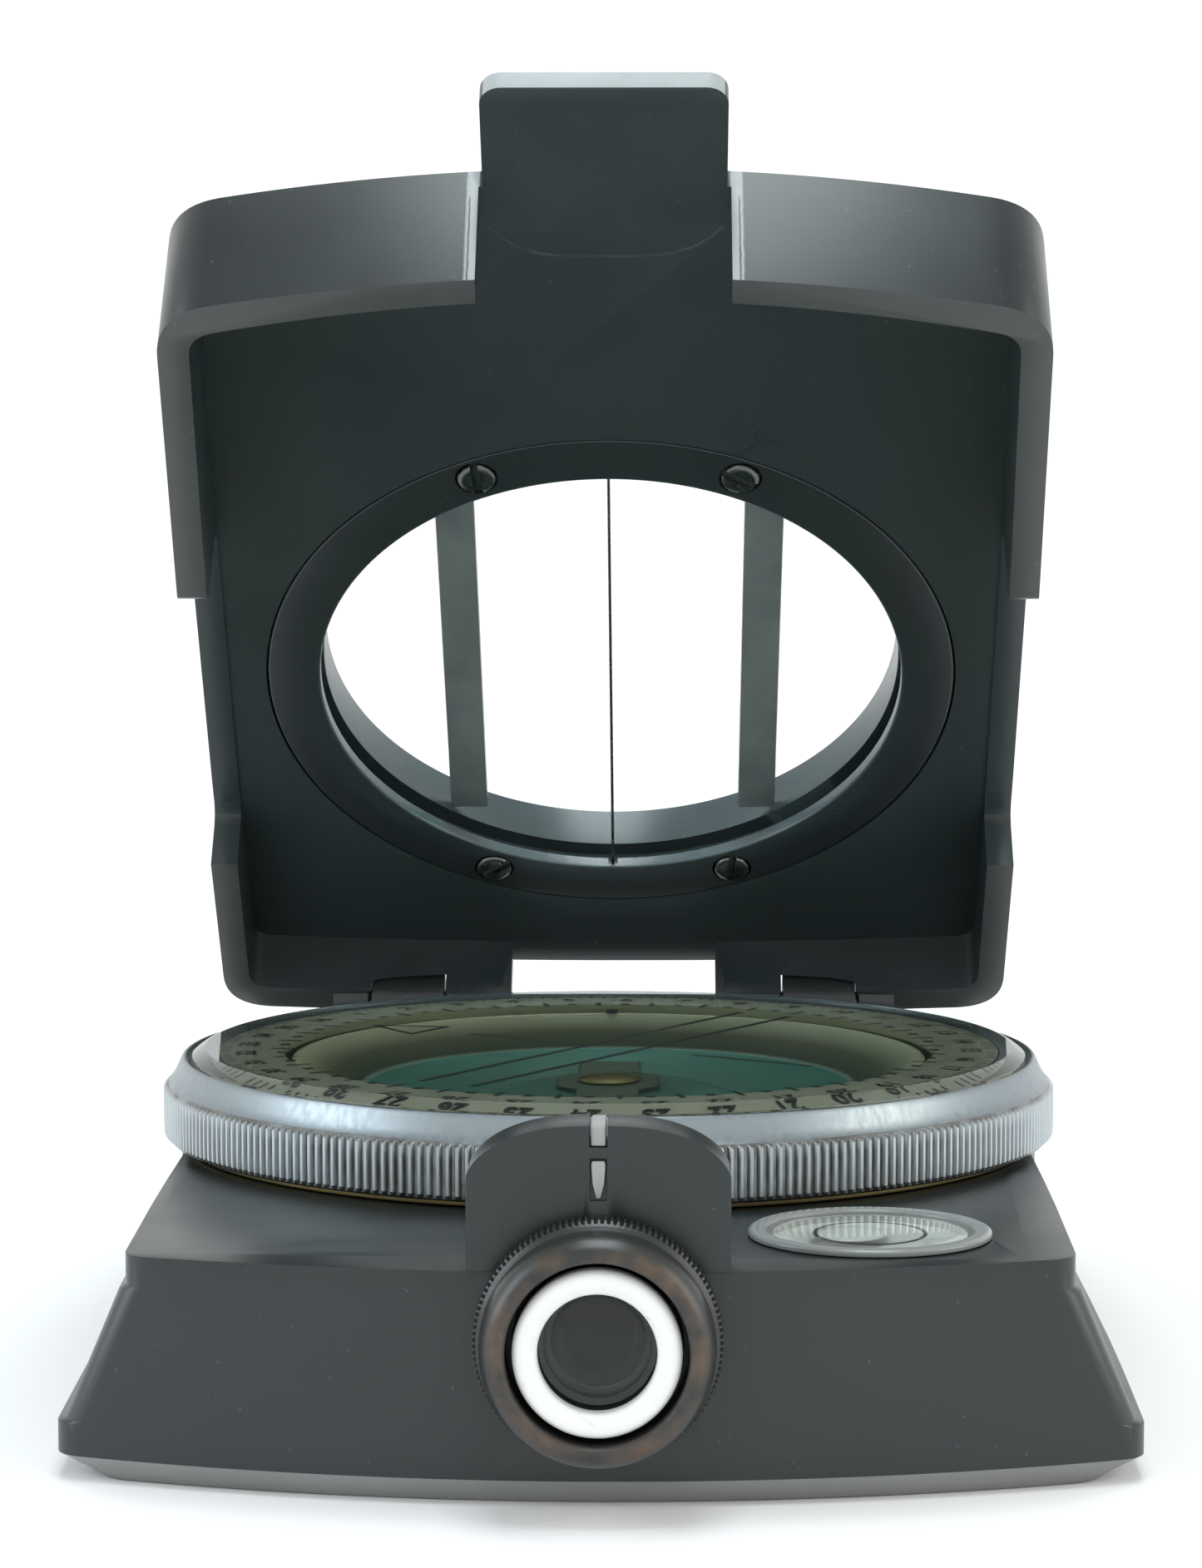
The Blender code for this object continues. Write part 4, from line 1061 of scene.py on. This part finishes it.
def mark_worn(lid):
    """Finds the faces of the lid whose finish differs from the plate's, from where they are when closed:
    among them the tab's end and the walls' rims, whose lighter finishes are painted highlights.
    """
    slots = {look: index for index, look in enumerate(LID_LOOKS)}
    back = LID_AT.inverted()
    for polygon in lid.data.polygons:
        spot = back @ (polygon.center / MM)
        facing = back.to_3x3() @ polygon.normal
        reach = math.hypot(spot.x, spot.y - WINDOW_Y)
        # The tab's end face gets the light grey paint: a painted highlight.
        if spot.y < -88.0 and facing.y < -0.55:
            polygon.material_index = slots["tab_end"]
        elif 20.9 < reach < 22.4 and spot.z > 5.4:
            polygon.material_index = slots["bore"]
        # The walls' downward rims get the lighter coat: a painted highlight.
        elif facing.z < -0.9 and spot.z < 0.0:
            polygon.material_index = slots["rim"]
        elif -88.0 < spot.y < -76.0 and facing.y < -0.6 and polygon.material_index == slots["plate"]:
            polygon.material_index = slots["front_wall"]


def ring_screw_places():
    angle = math.radians(SCREW_CIRCLE_DEG)
    across, along = SCREW_CIRCLE_R * math.cos(angle), SCREW_CIRCLE_R * math.sin(angle)
    return [(sx * across, WINDOW_Y + sy * along) for sx in (-1, 1) for sy in (-1, 1)]


def make_window():
    centre = (0, WINDOW_Y, 0)
    profile = soft([(21.2, 4.42), (25.0, 4.42), (25.0, 5.42), (21.2, 5.42)], 0.15, 4)
    ring = raw("window_retainer", *turned(profile, 192, centre), LID_AT, 40.0)
    cut(ring, box(-0.35, 0.35, WINDOW_Y - 21.9, WINDOW_Y + 21.9, 4.7, 6.4), LID_AT)
    for x, y in ring_screw_places():
        sink = [(0, 3.0), (1.5, 3.0), (1.5, 5.0), (0.65, 5.0), (0.65, 7.0), (0, 7.0)]
        cut(ring, turned(sink, 48, (x, y, 0)), LID_AT)
    crease(ring.data, 35.0)
    back = LID_AT.inverted()
    for polygon in ring.data.polygons:
        spot = back @ (polygon.center / MM)
        if math.hypot(spot.x, spot.y - WINDOW_Y) < 21.4:
            polygon.material_index = 1
    finish_piece(ring, "lid", "black_coat", [COAT, COAT_BORE], "window_ring")
    profile = [(0, 5.6), (22.1, 5.6), (22.2, 5.7), (22.2, 6.5), (22.1, 6.6), (0, 6.6)]
    pane = raw("window_pane", *turned(profile, 160, centre), LID_AT)
    finish_piece(pane, "lid", "clear_glass", [PANE_GLASS], "window_glass")
    wire = turned(rod(0.11, -21.7, 21.7), 16, (0, WINDOW_Y, 5.15), "Y")
    finish_piece(raw("hairline", *wire, LID_AT, 60.0), "lid", "blackened_steel", [DARK_STEEL], "sight_wire")


def make_ring_screws():
    """The slotted screws that hold the window's ring, each with its slot at its own angle."""
    profile = soft([(0, 4.15), (1.0, 4.15), (1.25, 4.25), (1.35, 4.42),
                    (1.35, 4.9), (0.5, 4.9), (0.5, 8.3), (0, 8.3)], 0.06)
    for number, (x, y) in enumerate(ring_screw_places(), 1):
        screw = raw(f"retainer_screw_{number}", *turned(profile, 64, (x, y, 0)), LID_AT)
        cut(screw, slot_cutter(0.35 + 1.1 * number, (x, y), 3.0, 4.58), LID_AT)
        crease(screw.data, 35.0)
        finish_piece(screw, "lid", "blackened_steel", [DARK_STEEL], f"ring_screw_{number}")


def make_guard_bars():
    """The two bars that cross the window, one each side of the sight wire."""
    middle, half = 10.95, 1.4
    reach = math.sqrt(PANE_SIGHT_R ** 2 - (middle + half) ** 2) - 0.15
    for sign, tag in ((-1, "left"), (1, "right")):
        x0 = sign * middle - half
        bar = raw(f"guard_strip_{tag}",
                  *box(x0, x0 + 2 * half, WINDOW_Y - reach, WINDOW_Y + reach, 6.9, 7.7), LID_AT)
        ease(bar, 0.15, 2)
        finish_piece(bar, "lid", "bright_alloy", [SMOKED, COAT_BRIGHT], f"guard_bar_{tag}")


def make_pins():
    for sign, tag in ((-1, "left"), (1, "right")):
        x0, x1 = sorted((sign * 8.3, sign * 21.1))
        shape = turned(soft(rod(0.85, x0, x1), 0.15), 48, HINGE_AT, "X")
        finish_piece(raw(f"hinge_axle_{tag}", *shape), "base", "steel", [STEEL], f"hinge_pin_{tag}")


# ---- studio

ROOM = 1.14
FOCAL_MM = 97.373793
SENSOR_MM = 36.0
CAMERA_AT = (0.003523, -0.295997, 0.062352)
CAMERA_DIP_DEG = 4.538
CAMERA_SWING_DEG = 0.784


def lamp(name, place, target, size, power, tone):
    light = bpy.data.lights.new(name, "AREA")
    light.shape = "RECTANGLE"
    light.size, light.size_y = size
    light.energy = power
    light.color = tone
    obj = linked(name, light)
    obj.location = place
    obj.rotation_euler = (Vector(target) - obj.location).to_track_quat("-Z", "Y").to_euler()


def soft_sky(tree):
    """An even white room whose ceiling is dimmer than its walls. The backdrop itself stays white."""
    towards = add_node(tree, "TexCoord").outputs["Generated"]
    parts = add_node(tree, "SeparateXYZ", {0: towards}).outputs
    tilt = add_node(tree, "Math", {0: parts[1], 1: 0.3, 2: parts[2]}, operation="MULTIPLY_ADD").outputs[0]
    fall = add_node(tree, "MapRange", {
        "Value": tilt, "From Min": 0.42, "From Max": 0.95, "To Min": ROOM, "To Max": ROOM * 0.35,
    }).outputs[0]
    seen = add_node(tree, "LightPath").outputs["Is Camera Ray"]
    strength = add_node(tree, "Mix", {0: seen, 2: fall, 3: ROOM}).outputs[0]
    background = tree.nodes["Background"]
    tree.links.new(strength, background.inputs["Strength"])
    fill(background.inputs["Color"], (0.985, 0.995, 1.0))


def make_studio():
    floor = raw("studio_floor", *prism([(-400, -500), (400, -500), (400, 400), (-400, 400)], -0.35, -0.05))
    sheet = Finish("studio_paper", Roughness=0.9)
    cloud = sheet.span(sheet.noise(14.0, 2.0), 0.3, 0.7)
    sheet.set("Base Color", sheet.mix(cloud, (0.89, 0.89, 0.89), (0.91, 0.91, 0.91)))
    floor.data.materials.append(sheet.material)
    world = bpy.data.worlds.new("studio_air")
    world.use_nodes = True
    bpy.context.scene.world = world
    soft_sky(world.node_tree)
    lamp("top_softbox", (0.02, 0.05, 0.75), (0.02, 0.05, 0), (0.28, 0.6), 3.3, (0.88, 0.97, 1.0))
    lamp("left_softbox", (-0.7, -0.1, 0.35), (0, 0, 0.03), (0.4, 0.5), 2.0, (0.86, 0.93, 1.0))
    lamp("right_softbox", (0.7, -0.1, 0.35), (0, 0, 0.03), (0.4, 0.5), 1.6, (1.0, 0.95, 0.88))


def make_camera():
    lens = bpy.data.cameras.new("studio_camera")
    lens.sensor_fit = "AUTO"
    lens.sensor_width = SENSOR_MM
    lens.lens = FOCAL_MM
    lens.clip_start = 0.02
    lens.clip_end = 20.0
    camera = linked("studio_camera", lens)
    camera.location = CAMERA_AT
    camera.rotation_euler = (math.radians(90 - CAMERA_DIP_DEG), 0.0, math.radians(CAMERA_SWING_DEG))
    bpy.context.scene.camera = camera
    bpy.context.scene.view_settings.view_transform = "Standard"


make_base()
make_cover()
make_capsule()
make_card()
make_bezel()
make_crystal()
make_dial()
make_pattern()
make_eyepiece()
make_bracket()
make_level()
make_lid()
make_window()
make_ring_screws()
make_guard_bars()
make_pins()
make_studio()
make_camera()
